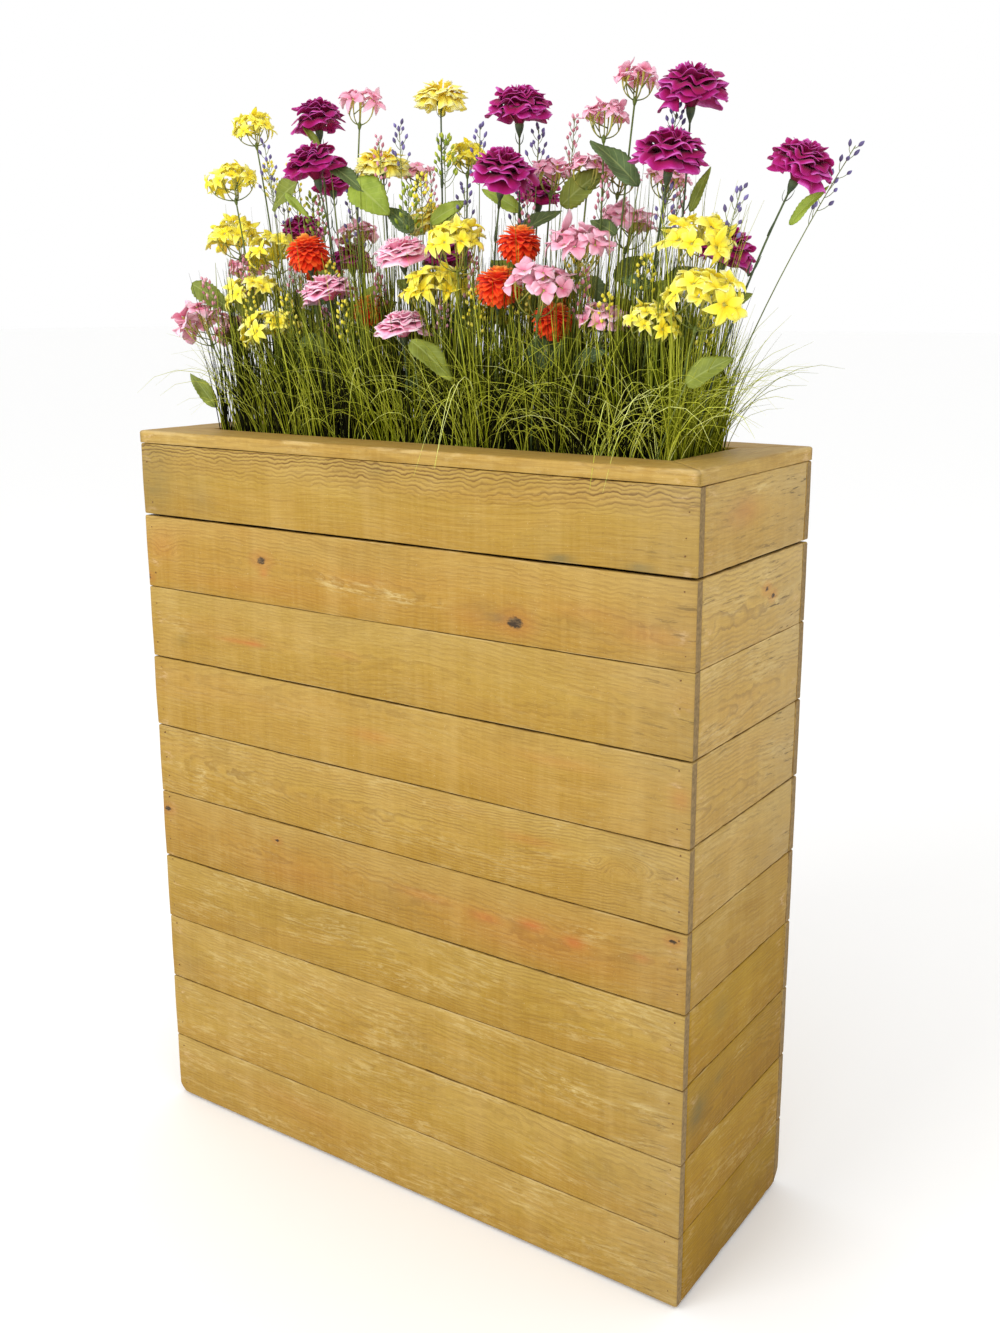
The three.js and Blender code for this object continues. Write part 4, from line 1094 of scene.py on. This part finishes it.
OVER_HEAD = (0.3, 0.9, 0.2)  # heading that no stalk follows
yellow_silk = silk_finish(
    "yellow_silk", (0, 248, 216, 32), (0.3, 254, 236, 62), (0.65, 255, 246, 108), (1, 255, 253, 206)
)
pink_silk = silk_finish(
    "pink_silk", (0, 220, 104, 136), (0.3, 238, 158, 182), (0.65, 247, 194, 212), (1, 254, 232, 240)
)


def floret_grids(petals, radius, broad, point, nu=6, nv=5, droop=0.45):
    """One floret: petals with a bellied outline, creased down the middle, tips curled down or up."""
    heading = (np.arange(petals) + bed.uniform(0, 1) + bed.normal(0, 0.12, petals)) / petals * 2 * math.pi
    u = np.linspace(0, 1, nu)[None, :, None]
    v = np.linspace(-1, 1, nv)[None, None, :]
    outline = 0.12 + np.sin(math.pi * u**point) ** 0.8 * (1 - 0.12 * u)
    width = radius * broad * outline
    sag = droop * (1 + bed.normal(0, 0.8, petals))[:, None, None]
    twist = bed.normal(0, 0.35, petals)[:, None, None]
    along = radius * (0.1 + 0.9 * u) * (1 + bed.normal(0, 0.09, petals))[:, None, None] + 0 * v
    across = width * v + radius * 0.16 * twist * u**2
    crinkle = 0.06 * np.sin(v * 5 + bed.uniform(0, 6, petals)[:, None, None]) * u
    crease = 0.12 * np.abs(v) * np.sin(math.pi * u)
    up = radius * (0.42 * u - sag * u**2.2 + crease + crinkle - 0.02) + across * twist * u
    c, s = np.cos(heading)[:, None, None], np.sin(heading)[:, None, None]
    grids = np.stack([along * c - across * s, along * s + across * c, up], -1)
    shade = 0.1 + 0.6 * u + 0.16 * v**2 * u + bed.normal(0, 0.1, petals)[:, None, None]
    return grids, shade


def aim(points, way):
    """Turns points whose up is Z to a heading."""
    side = unit(np.cross(way, (0.013, 0.021, 1)))
    return points @ np.stack([side, np.cross(way, side), way])


def cluster(head, petals, broad, point, crown, paint, slot):
    """Florets in two rings round a middle one, each looking out along its stalk.

    crown holds the florets of the inner and the outer ring, the outer ring's level as a share of the
    thickness, its slope in degrees and a floret's radius as a share of the width.
    """
    wide, thick, neck = head.wide, head.thick, head.neck
    silk, stalks = Shape(), Shape()
    inner, outer, low, slope, size = crown
    places = [(0.02, 0.98, 6)] + [(0.26, 0.9, slope * 0.4)] * inner + [(0.5, low, slope)] * outer
    for k, (out, up, lean) in enumerate(places):
        radius = wide * size * bed.uniform(0.85, 1.15)
        heading = (k - 1) / inner if k <= inner else (k - inner - 1) / outer + 0.07
        heading = (heading + bed.normal(0, 0.02)) * 2 * math.pi
        lean = math.radians(lean + bed.normal(0, 13))
        round_ = np.array([math.cos(heading), math.sin(heading), 0])
        way = round_ * math.sin(lean) + np.array([0, 0, math.cos(lean)])
        away = wide * out - radius * math.cos(lean) * (out > 0.4)
        level = neck + thick * (up + bed.normal(0, 0.09)) - 0.2 * radius
        middle = round_ * max(away, 0) + np.array([0, 0, level])
        grids, shade = floret_grids(petals, radius, broad, point)
        silk.add(*shells(head.put(aim(grids, way) + middle), SILK, shade + bed.normal(0, 0.05)))
        start = np.array([0, 0, 5 * MM]) + round_ * 1.2 * MM
        rise = 0.12 * (middle[2] - start[2])
        knee = start + round_ * np.linalg.norm(middle[:2]) * 0.95 + np.array([0, 0, rise])
        end = middle - way * radius * 0.06
        if k % 2 == 0 and k:  # this stalk forks from the one before it
            start = line[0, 4]
            knee = (start + end) / 2 + round_ * 2 * MM
        line = bezier(start, knee, end, 8)[None]
        radii = np.array([0.9, 0.8, 0.75, 0.75, 0.75, 0.9, 1.2, 1.8]) * MM
        stalks.add(*tubes(head.put(line), radii, OVER_HEAD, 5, shade=np.linspace(0.5, 1.1, 8)))
    hub = upright(np.array([-0.5, 2, 5, 8.5]) * MM)
    stalks.add(*tubes(head.put(hub), np.array([1.5, 2.2, 3.0, 1.6]) * MM, OVER_HEAD, 8, shade=0.5))
    grown(f"{head.name}_florets", silk, paint, slot, head.node)
    grown(f"{head.name}_stalks", stalks, cluster_green, "greenery", head.node)


for bloom in heads:
    if bloom.kind == "umbel_yellow":
        cluster(bloom, 6, 0.28, 0.85, (5, 9, 0.42, 55, 0.21), yellow_silk, "yellow_silk")
    elif bloom.kind == "umbel_pink":
        if bloom.middle[0] < 0 and bloom.middle[2] > 1.38:  # the tall one on the left has lost florets
            cluster(bloom, 5, 0.3, 1.15, (2, 5, 0.62, 20, 0.25), pink_silk, "pink_silk")
        else:
            cluster(bloom, 4, 0.52, 1.15, (5, 9, 0.56, 32, 0.185), pink_silk, "pink_silk")

# ---- Strap-petalled yellow flowers -----------------------------------------------------------------
# Shaggy heads of narrow silk straps in five rings over a green cup, lemon at the tips and deeper gold
# at the heart.

lemon_silk = silk_finish(
    "lemon_silk", (0, 253, 212, 44), (0.3, 255, 230, 72), (0.65, 255, 242, 116), (1, 255, 251, 190)
)


def strap_flower(head):
    """Rings of straps from the outside in: count, reach and height, and arch."""
    wide, thick, neck = head.wide / 2, head.thick, head.neck
    rings = [
        (14, (0.96, -0.24), 0.7),
        (13, (1.02, 0.08), 0.78),
        (12, (0.95, 0.36), 0.84),
        (10, (0.75, 0.62), 0.9),
        (8, (0.42, 0.82), 0.95),
    ]
    shape = Shape()
    for count, (out, up), arch in rings:
        knee = (wide * out * 0.5, neck + thick * arch * 0.85)
        curve = [(2 * MM, neck * 0.8), knee, (wide * out * 0.97, neck + thick * up)]
        strap = {"teeth": 0.06, "folds": (2.4, 4.4), "nv": 7, "jitter": 0.22}
        grids, shade = petal_ring(count, 0.3, curve, 0.08 * wide, **strap)
        shape.add(*shells(head.put(grids), SILK, shade))
    grown(f"{head.name}_petals", shape, lemon_silk, "yellow_silk", head.node)
    cup(head, neck * 1.1, 1.3, 2.6, 4.4, 5.6, 5.0)


for bloom in heads:
    if bloom.kind == "mum_yellow":
        strap_flower(bloom)

# ---- Orange pompons -------------------------------------------------------------------------------
# Balls of small pointed silk petals set in a spiral, red-orange at the sides and golden at the crown.

orange_silk = silk_finish(
    "orange_silk", (0, 214, 30, 4), (0.35, 244, 58, 14), (0.7, 250, 98, 32), (1, 255, 176, 76)
)


def pompon(head, petals=130):
    """Petals stand on a ball at equal steps of height and golden-angle steps of heading."""
    half = head.wide / 2
    centre = np.array([0, 0, head.neck + head.thick / 2])
    squash = head.thick / head.wide
    k = np.arange(petals)
    polar = np.arccos(1 - 1.78 * (k + 0.5) / petals)
    heading = k * math.pi * (3 - math.sqrt(5)) + bed.normal(0, 0.1, petals)
    u = np.linspace(0, 1, 5)[None, :, None]
    v = np.linspace(-1, 1, 5)[None, None, :]
    reach = (0.42 + 0.56 * u) * (1 + bed.normal(0, 0.03, petals))[:, None, None]
    bend = polar[:, None, None] + 0.34 * (u - 0.4) + bed.normal(0, 0.06, petals)[:, None, None]
    width = 0.2 * np.sin(math.pi * (0.12 + 0.82 * u)) ** 0.6
    out = reach * np.sin(bend) + 0 * v
    up = reach * np.cos(bend) + 0.35 * width * v**2
    c, s = np.cos(heading)[:, None, None], np.sin(heading)[:, None, None]
    side = width * v
    grids = np.stack([out * c - side * s, out * s + side * c, up * squash], -1) * half + centre
    crown = np.exp(-((polar / 0.75) ** 2))[:, None, None]
    shade = 0.05 + 0.5 * u + 0.5 * crown + bed.normal(0, 0.07, petals)[:, None, None] + 0 * v
    shape = Shape().add(*shells(head.put(grids), SILK, shade))
    level = np.linspace(-0.96, 0.96, 7)
    core = upright(centre[2] + level * half * squash * 0.62)
    shape.add(*tubes(head.put(core), np.sqrt(1 - level**2) * half * 0.62, (1, 0, 0), 12, shade=0.0))
    grown(f"{head.name}_petals", shape, orange_silk, "orange_silk", head.node)
    cup(head, head.neck + head.thick * 0.16, 1.3, 2.0, 3.4, 5.4)


for bloom in heads:
    if bloom.kind == "pompon_orange":
        pompon(bloom)

# ---- Sprigs ---------------------------------------------------------------------------------------
# Thin wires with short side twigs, each ending in a bud: violet, lilac-pink, yellow and fresh green.
# They fill the gaps between the flowers.

# sort, then the tips and the lengths of their budded stretches, in mm
SPRIGS = [
    ("lavender", [
        (520, 5, 1352, 95), (412, -40, 1310, 70), (35, 10, 1402, 70), (-80, -5, 1410, 60),
        (-168, 0, 1332, 85), (18, 0, 1332, 60), (112, 25, 1396, 50), (-300, -20, 1400, 80),
        (318, -25, 1318, 60), (312, 0, 1402, 40), (-330, 40, 1345, 60), (60, 60, 1330, 60),
    ]),
    ("pink", [
        (-110, -10, 1396, 75), (-222, 0, 1330, 80), (178, 0, 1402, 70), (220, 0, 1330, 60),
        (120, -10, 1330, 80), (-50, 20, 1356, 60), (225, -50, 1226, 60), (-395, -50, 1222, 60),
        (-90, -40, 1222, 50), (-320, -50, 1245, 60), (20, -50, 1190, 50), (290, 60, 1330, 60),
    ]),
    ("green", [
        (-20, 10, 1392, 60), (-72, 0, 1334, 70),
    ]),
    ("yellow", [
        (-35, -20, 1345, 50), (-290, 20, 1378, 80),
    ]),
    ("green", [
        (-245, 10, 1330, 70),
    ]),
    ("yellow", [
        (-370, 60, 1385, 60), (340, -60, 1200, 60), (75, -60, 1205, 60), (-230, -65, 1196, 60),
        (-130, -65, 1190, 60), (-300, -65, 1205, 60), (260, -60, 1196, 50), (370, -20, 1180, 50),
        (170, 50, 1270, 50), (-180, -30, 1240, 60), (30, -30, 1230, 60), (130, -40, 1216, 60),
        (200, -30, 1240, 60), (-340, -10, 1250, 60), (300, -40, 1240, 50),
    ]),
    ("pink", [
        (60, -40, 1240, 60), (-250, -30, 1250, 60), (170, -30, 1170, 50), (-200, -20, 1180, 50),
    ]),
]

violet_bud = silk_finish("violet_bud", (0, 84, 74, 98), (0.5, 104, 94, 140), (1, 134, 122, 184))
pink_bud = silk_finish("pink_bud", (0, 150, 84, 92), (0.5, 206, 132, 148), (1, 234, 180, 196))
yellow_bud = silk_finish("yellow_bud", (0, 196, 188, 50), (0.5, 238, 222, 64), (1, 250, 242, 120))
green_bud = silk_finish("green_bud", (0, 96, 122, 30), (0.5, 134, 156, 40), (1, 196, 204, 84))
BUDS = {
    "lavender": (violet_bud, "purple_silk", 13, 6.6, 2.2, 0.7),
    "pink": (pink_bud, "pink_silk", 18, 5.4, 2.0, 0.5),
    "yellow": (yellow_bud, "yellow_silk", 22, 5.2, 2.2, 0.7),
    "green": (green_bud, "greenery", 26, 7, 2.2, 0.8),
}  # finish, slot, twigs, bud length and half width in mm, splay


def wire_to(wires, foot, tip, radii):
    """Adds a bent wire from its foot to its tip, and gives its line."""
    line = bezier(foot, knee_of(foot, tip), tip, len(radii))
    wires.add(*tubes(line[None], radii, (0.9, 0.4, 0), 4))
    return line


def sprigs():
    """Twigs leave the wire in golden-angle steps and get shorter towards the tip."""
    wires = Shape()
    buds = {sort: Shape() for sort in BUDS}
    for sort, (*tip, budded) in ((sort, sprig) for sort, run in SPRIGS for sprig in run):
        twigs, long, half, splay = BUDS[sort][2:]
        tip = np.array(tip) * MM
        line = wire_to(wires, foot_of(tip), tip, np.linspace(0.9, 0.5, 16) * MM)
        axis = unit(line[-1] - line[-3])
        side = unit(np.cross(axis, (0.1, 1, 0.05)))
        k = np.arange(twigs)
        share = (k + 0.5) / twigs
        down = (1 - share) ** 1.1 * budded * MM
        heading = k * 2.4 + bed.uniform(0, 6)
        round_ = np.cos(heading)[:, None] * side + np.sin(heading)[:, None] * np.cross(axis, side)
        length = (4 + 15 * (1 - share) ** 0.8 * bed.uniform(0.6, 1.1, twigs)) * MM
        start = tip - axis * down[:, None]
        end = start + (round_ * splay * 1.3 + axis) * length[:, None] * 0.8
        knee = start + (round_ * splay * 1.1 + axis * 0.3) * length[:, None] * 0.6
        wires.add(*tubes(bezier(start, knee, end, 4), 0.45 * MM, round_ + axis * 0.01, 3, shade=0.9))
        way = unit(end - knee)
        reach = np.linspace(0, 1, 5)[None, :, None]
        size = (long * MM * bed.uniform(0.75, 1.2, twigs))[:, None, None]
        bud = end[:, None] + way[:, None] * reach * size
        girth = np.array([0.35, 0.85, 1.0, 0.8, 0.35]) * half * MM
        level = bed.uniform(0.2, 0.9, twigs)[:, None] + np.linspace(-0.15, 0.15, 5)
        buds[sort].add(*tubes(bud, girth, np.cross(way, axis + 0.01), 6, shade=level))
    grown("sprig_wires", wires, twig_green, "greenery", GREENERY)
    for sort, shape in buds.items():
        grown(f"{sort}_buds", shape, *BUDS[sort][:2], GREENERY)


sprigs()

# ---- Leaves ---------------------------------------------------------------------------------------
# Printed silk leaves with a folded midrib and toothed edges, glued to the wires: some heart-shaped and
# olive, some dark, some long and narrow.

# root and tip, breadth, all in mm, and sort
LEAVES = [
    ((270, -10, 1321), (209, -10, 1386), 30, "dark"),
    ((-146, -20, 1345), (-92, -20, 1309), 48, "light"),
    ((-180, -25, 1367), (-123, -25, 1340), 24, "dark"),
    ((-242, -20, 1349), (-304, -20, 1321), 42, "olive"),
    ((-257, -30, 1335), (-219, -30, 1306), 11, "light"),
    ((7, -100, 1147), (72, -104, 1111), 32, "olive"),
    ((381, -96, 1106), (429, -100, 1138), 30, "olive"),
    ((140, -40, 1116), (194, -40, 1162), 40, "dark"),
    ((-396, -40, 1046), (-472, -20, 1104), 22, "olive"),
    ((-432, -40, 1219), (-362, -40, 1187), 30, "olive"),
    ((-344, -40, 1180), (-292, -40, 1212), 36, "olive"),
    ((-182, -60, 1152), (-233, -60, 1128), 14, "dark"),
    ((103, 0, 1300), (40, 0, 1337), 20, "light"),
    ((154, 10, 1306), (208, 10, 1348), 34, "olive"),
    ((332, 0, 1292), (352, 0, 1340), 13, "olive"),
    ((93, 0, 1270), (150, 0, 1306), 26, "dark"),
    ((236, 0, 1270), (200, 0, 1292), 20, "dark"),
    ((-22, 0, 1293), (12, 0, 1318), 24, "olive"),
    ((-66, 0, 1280), (-110, 0, 1321), 26, "dark"),
    ((-36, 0, 1292), (12, -5, 1316), 22, "light"),
    ((-130, -30, 1184), (-102, -30, 1218), 22, "olive"),
    ((288, -20, 1196), (318, -20, 1219), 20, "olive"),
    ((-211, -10, 1394), (-240, -10, 1426), 10, "olive"),
    ((142, -20, 1142), (188, -20, 1182), 32, "dark"),
    ((462, -23, 1273), (497, -23, 1314), 15, "light"),
    ((-200, -60, 1150), (-160, -62, 1128), 22, "olive"),
    ((60, 40, 1210), (30, 40, 1250), 26, "dark"),
    ((280, 40, 1210), (318, 40, 1236), 28, "dark"),
    ((-60, 60, 1290), (-96, 70, 1316), 26, "olive"),
    ((-300, 60, 1190), (-346, 70, 1210), 28, "olive"),
    ((200, 60, 1220), (236, 74, 1252), 28, "dark"),
    ((330, 60, 1180), (376, 70, 1206), 26, "olive"),
    ((-420, 40, 1130), (-466, 50, 1164), 24, "olive"),
    ((-260, 20, 1180), (-222, 10, 1214), 26, "dark"),
    ((-210, 30, 1210), (-250, 20, 1240), 26, "olive"),
    ((-150, 20, 1170), (-112, 10, 1196), 28, "dark"),
    ((-70, 30, 1200), (-110, 20, 1226), 26, "olive"),
    ((-20, 20, 1160), (24, 10, 1186), 28, "dark"),
    ((110, 30, 1180), (70, 20, 1210), 28, "olive"),
    ((180, 20, 1220), (222, 10, 1196), 26, "dark"),
    ((250, 30, 1170), (212, 20, 1200), 28, "olive"),
    ((310, 20, 1150), (352, 10, 1176), 26, "dark"),
    ((-330, 20, 1150), (-290, 10, 1176), 26, "olive"),
    ((-300, -10, 1110), (-262, -20, 1136), 24, "dark"),
    ((-90, -50, 1120), (-132, -60, 1140), 22, "olive"),
    ((210, -50, 1120), (252, -60, 1140), 22, "dark"),
]


OVER_THE_END = 440 * MM  # from the middle, where leaves hang out over the end and have no wire
LEAF = 0.5 * MM  # thickness


def leaf_finish(name, base, light):
    """Blade colour, paler veins that leave the midrib at an angle, and a faint blotch."""
    made, w, shader = finish_named(name, {"Specular IOR Level": 0.4})
    along, across, chance = w.attribute("leaf", "Vector").split()
    place = w.node("TexCoord", out=3)
    broad = w.noise(place, 60.0, 3, 0.6)
    off = w.math("ABSOLUTE", across)
    rib = w.math("FRACT", (along - off * 0.28) * 7.0)
    vein = rib.ramp((0, 1), (0.1, 0), (0.92, 0), (1, 1)) * 0.7
    midrib = off.ramp((0.03, 1), (0.1, 0))
    lines = w.math("MAXIMUM", vein, midrib)
    paint = w.mix(broad.ramp((0.35, 0), (0.65, 1)), base, light)
    paint = w.mix(chance * 0.3, paint, colour(120, 120, 40))
    paint = w.mix(lines * 0.34, paint, colour(176, 186, 112))
    feed(w, shader, paint, 0.5 + broad * 0.2, lines * -1.0 + broad * 0.4, 0.4, 0.0005)
    return made


LEAF_FINISHES = {
    "olive": leaf_finish("leaf_olive", colour(104, 118, 30), colour(132, 144, 46)),
    "dark": leaf_finish("leaf_dark", colour(58, 82, 46), colour(84, 110, 66)),
    "light": leaf_finish("leaf_light", colour(128, 150, 36), colour(156, 176, 60)),
}


def leaf_grid(root, tip, broad, nu=23, nv=9):
    """A leaf from root to tip: a toothed heart shape, folded up from the midrib, sagging along it.

    Its face turns as far as it can to the front of the planter.
    """
    u = np.linspace(0, 1, nu)[:, None]
    v = np.linspace(-1, 1, nv)[None, :]
    long = np.linalg.norm(tip - root)
    teeth = 1 + 0.05 * (np.arange(nu) % 2 * 2 - 1)[:, None] * (np.abs(v) > 0.9)
    outline = np.clip(np.sin(math.pi * u**0.72) ** 0.75, 0.03, 1) * teeth
    across = broad / 2 * outline * v
    lift = 0.22 * np.abs(across) + 0.03 * long * np.sin(u * 9 + v * 3) * np.abs(v) - 0.2 * long * u**2
    ahead = unit(tip - root)
    face = np.array([0.4, -0.72, 0.5]) + bed.normal(0, 0.16, 3)
    face = unit(face - (face @ ahead) * ahead)
    u, v, across, lift = (a[..., None] for a in np.broadcast_arrays(u, v, across, lift))
    grid = root + long * u * ahead + across * np.cross(face, ahead) + lift * face
    return grid, np.concatenate([u, v, np.full(u.shape, bed.uniform(0, 1))], -1)


def leaves():
    """The leaves of the table on wires of their own, and one more halfway up each carnation's stem."""
    sorts = {sort: [] for sort in LEAF_FINISHES}
    stalks = Shape()
    for root, tip, broad, sort in LEAVES:
        root = np.array(root) * MM
        sorts[sort].append(leaf_grid(root, np.array(tip) * MM, broad * MM))
        if abs(root[0]) > OVER_THE_END:
            continue
        foot = foot_of(root * (0.97, 1, 1))
        wire_to(stalks, foot, root, np.linspace(1.0, 0.6, 12) * MM)
    for head in heads:
        own = head.kind.startswith("carnation") and head.node != GREENERY
        if own and abs(head.middle[0]) < OVER_THE_END:
            line = stem_line(head, 30)
            at = int(bed.uniform(17, 22))
            sort = ("olive", "dark", "light")[bed.integers(0, 3)]
            turn = bed.uniform(0, 2 * math.pi)
            tip = line[at] + np.array([math.cos(turn), math.sin(turn), bed.uniform(0.3, 0.9)]) * 38 * MM
            sorts[sort].append(leaf_grid(line[at], tip, bed.uniform(12, 22) * MM))
    for sort, grids in sorts.items():
        grid, marks = (np.stack(both) for both in zip(*grids))
        shape = Shape().add(*shells(grid, LEAF, 0.5))
        marks = np.repeat(marks.reshape(len(grids), 1, -1, 3), 2, 1)  # for both faces of each leaf
        grown(f"leaves_{sort}", shape, LEAF_FINISHES[sort], "greenery", GREENERY, leaf=marks)
    grown("leaf_wires", stalks, twig_green, "greenery", GREENERY)


leaves()

# ---- Turf and grass -------------------------------------------------------------------------------
# A woven mat lies on the block and carries tufts of thin plastic grass: stiff olive blades, tall fine
# reeds between the flowers, and pale soft blades that arch over.

TURF_LONG, TURF_DEEP, TURF_HIGH = 706 * MM, 152 * MM, 12 * MM
MOUTH = (WIDTH / 2 - CAP_WIDE, DEPTH / 2 - CAP_WIDE)
BLADE_FOOT = TURF_TOP - 6 * MM
CLEAR = 2 * MM  # between a blade and the timber

# the blade ramps run from near black at the foot to light at the tip: their dark low stops are painted shade
# deep in the grass
blade_olive = foliage_finish(
    "blade_olive", 0.1, (0, 20, 20, 0), (0.3, 62, 66, 2), (0.6, 126, 134, 12), (1, 188, 192, 64)
)
blade_dark = foliage_finish(
    "blade_dark", 0.1, (0, 14, 18, 0), (0.35, 44, 54, 4), (0.7, 90, 102, 16), (1, 138, 146, 48)
)
blade_pale = foliage_finish(
    "blade_pale", 0.1, (0, 70, 78, 4), (0.3, 148, 158, 18), (0.6, 208, 216, 70), (1, 242, 247, 160)
)

FOUNTAINS = (-250, -120, 78, 210, 240, 268, 300, 340)  # mm along the front edge
# name, finish, tufts, blades a tuft, length and half width in mm, lean and droop in degrees, how light
# the foot is painted (low values paint shade deep in the tufts), and where: any place, the front edge, or x
# in mm
GRASSES = [
    ("grass_bright_front", blade_olive, 40, 8, (120, 240), 1.2, (0, 9), (6, 50), 0.65, "front"),
    ("grass_olive_front", blade_olive, 64, 8, (130, 230), 1.2, (0, 8), (4, 40), -1.0, "front"),
    ("grass_arcs", blade_olive, 56, 7, (170, 290), 0.75, (0, 10), (70, 150), 1.4, "front"),
    ("grass_olive", blade_olive, 110, 9, (170, 270), 1.1, (0, 9), (4, 30), -1.4, "any"),
    ("grass_dark", blade_dark, 140, 11, (190, 310), 1.3, (0, 6), (2, 16), -1.2, "any"),
    ("grass_tall", blade_olive, 150, 8, (220, 340), 0.9, (0, 6), (2, 20), -0.9, "any"),
    ("grass_reeds", blade_dark, 90, 5, (240, 400), 0.95, (0, 4), (1, 10), 0.0, "any"),
    ("grass_pale", blade_pale, 10, 8, (160, 260), 0.5, (0, 12), (50, 150), 0.2, "front"),
    ("grass_fountains", blade_pale, len(FOUNTAINS), 16, (150, 270), 0.8, (0, 14), (80, 160), 0.55, FOUNTAINS),
    ("grass_end", blade_olive, 14, 12, (130, 230), 1.2, (0, 9), (4, 34), 0.2, 346),
    ("grass_right", blade_olive, 8, 22, (150, 270), 0.9, (4, 26), (30, 110), 0.4, 352),
    ("grass_right_tall", blade_olive, 6, 9, (260, 390), 1.0, (1, 9), (4, 28), 0.2, 344),
    ("grass_hair", blade_pale, 12, 8, (180, 260), 0.45, (0, 14), (20, 90), 0.4, "any"),
]


def blade_lines(count, blades, long, lean, droop, where, rng, steps=9):
    """Blades in tufts: each bends over more and more towards its tip.

    The tilt from upright grows from the lean to the droop with the 1.8th power of the way along.
    """
    x = rng.uniform(-1, 1, count) * (TURF_LONG / 2 - 8 * MM)
    y = rng.uniform(-1, 1, count) * (TURF_DEEP / 2 - 4 * MM)
    if where == "front":
        y = -TURF_DEEP / 2 + 3 * MM + np.abs(rng.normal(0, 20, count)) * MM
    elif where != "any":
        x = (np.array(where) + rng.normal(0, 5, count)) * MM
        y = -TURF_DEEP / 2 + rng.uniform(3, 16, count) * MM if where is FOUNTAINS else y * 0.8
    x, y = (np.repeat(a, blades) + rng.normal(0, 3.5, count * blades) * MM for a in (x, y))
    x = np.clip(x, 3 * MM - TURF_LONG / 2, TURF_LONG / 2 - 3 * MM)
    y = np.clip(y, 3 * MM - TURF_DEEP / 2, TURF_DEEP / 2 - 3 * MM)
    if droop[0] > 60:  # tufts that arch over fall to either side
        bearing = rng.integers(0, 2, len(x)) * math.pi + rng.normal(0, 0.5, len(x))
    else:
        bearing = np.arctan2(y * 3, x) + rng.normal(0, 1.1, len(x))
    size = rng.uniform(*long, len(x)) * MM
    low, high = rng.uniform(*lean, len(x)), rng.uniform(*droop, len(x))
    share = (np.arange(steps) + 0.5) / steps
    tilt = np.radians(low[:, None] + (high - low)[:, None] * share**1.8)
    step = size[:, None] / steps
    out = np.cumsum(np.sin(tilt) * step, 1)
    up = np.cumsum(np.cos(tilt) * step, 1)
    x, y, way = x[:, None], y[:, None], bearing[:, None]
    line = np.stack([x + out * np.cos(way), y + out * np.sin(way), BLADE_FOOT + up], -1)
    foot = np.stack([x, y, np.full(x.shape, BLADE_FOOT)], -1)
    return np.concatenate([foot, line], 1), bearing


def stands_clear(lines):
    """Whether each blade stays off the timber, near the box and out of every flower head."""
    x, y, z = np.moveaxis(lines, -1, 0)
    over = (np.abs(x) > MOUTH[0] - CLEAR) | (np.abs(y) > MOUTH[1] - CLEAR)
    past = (np.abs(x) > WIDTH / 2 + CLEAR) | (np.abs(y) > DEPTH / 2 + CLEAR)
    far = (np.abs(x) > WIDTH / 2 + 60 * MM) | (y < -DEPTH / 2 - 42 * MM) | (y > DEPTH / 2 + 18 * MM)
    blocked = ((z < RIM + CLEAR) & over & ~past | far).any(1)
    for head in heads:
        away = lines - head.middle
        along = away @ head.axis
        off = np.linalg.norm(away - along[..., None] * head.axis, axis=-1)
        inside = (off / (head.wide * 0.42)) ** 2 + (along / (head.thick * 0.55)) ** 2 < 1
        blocked |= inside.any(1)
    return ~blocked


def hanging(rng):
    """Long blades that rise from the front row, arch over the cap and hang a little below its edge."""
    x = np.array([58, 64, 70, 78, 88, 268, 334])[:, None] * MM
    u = np.linspace(0, 1, 10)
    end = RIM - rng.uniform(12, 42, len(x))[:, None] * MM
    line = np.stack([
        x + rng.normal(4, 20, x.shape) * MM * u**1.3,
        -66 * MM - (DEPTH / 2 - 56 * MM + rng.uniform(0, 3, x.shape) * MM) * u**1.8,
        BLADE_FOOT + (end - BLADE_FOOT) * u + rng.uniform(0.37, 0.52, x.shape) * u * (1 - u),
    ], -1)
    return line, np.full(len(x), -math.pi / 2)


def grass():
    """Every row of the table: blades taper to the tip and are lighter higher up, with painted shade low down.
    """
    rng = np.random.default_rng(8)
    for name, paint, count, blades, long, half, lean, droop, foot_lightness, where in GRASSES:
        lines, bearing = blade_lines(count, blades, long, lean, droop, where, rng)
        if name == "grass_fountains":
            lines, bearing = (np.concatenate(both) for both in zip((lines, bearing), hanging(rng)))
        keep = stands_clear(lines)
        lines, bearing = lines[keep], bearing[keep]
        taper = np.array([0.9, 1, 1, 1, 0.95, 0.9, 0.8, 0.65, 0.45, 0.2])
        radii = half * MM * taper * rng.uniform(0.7, 1.15, len(lines))[:, None]
        side = np.stack([-np.sin(bearing), np.cos(bearing), 0 * bearing], -1)
        # painted shade: each blade darkens towards its foot, deep in the tufts, down to the lightness its row
        # gives the foot
        rise = np.clip((lines[..., 2] - TURF_TOP) / 0.2, 0, 1)
        bright = rng.uniform(0.45, 1.2, len(lines))[:, None]
        shade = foot_lightness + (1 - foot_lightness) * rise * bright + rng.normal(0, 0.1, len(lines))[:, None]
        shape = Shape().add(*tubes(lines, radii, side, 3, 0.6, shade))
        grown(name, shape, paint, "greenery", GREENERY)


def turf():
    """The mat: a rounded slab with a knobbly top."""
    nx, ny = 150, 34
    u, v = np.meshgrid(np.linspace(-1, 1, nx), np.linspace(-1, 1, ny), indexing="ij")
    rng = np.random.default_rng(3)
    knob = rng.normal(0, 0.7, u.shape) * MM
    fall = 3 * MM * np.maximum(np.abs(u) ** 40, np.abs(v) ** 12)
    level = TURF_TOP - TURF_HIGH / 2 + knob - fall
    grid = np.stack([u * TURF_LONG / 2, v * TURF_DEEP / 2, level], -1)[None]
    shape = Shape().add(*shells(grid, TURF_HIGH * 0.8, 0.2))
    grown("turf", shape, blade_dark, "greenery", GREENERY)


turf()
grass()
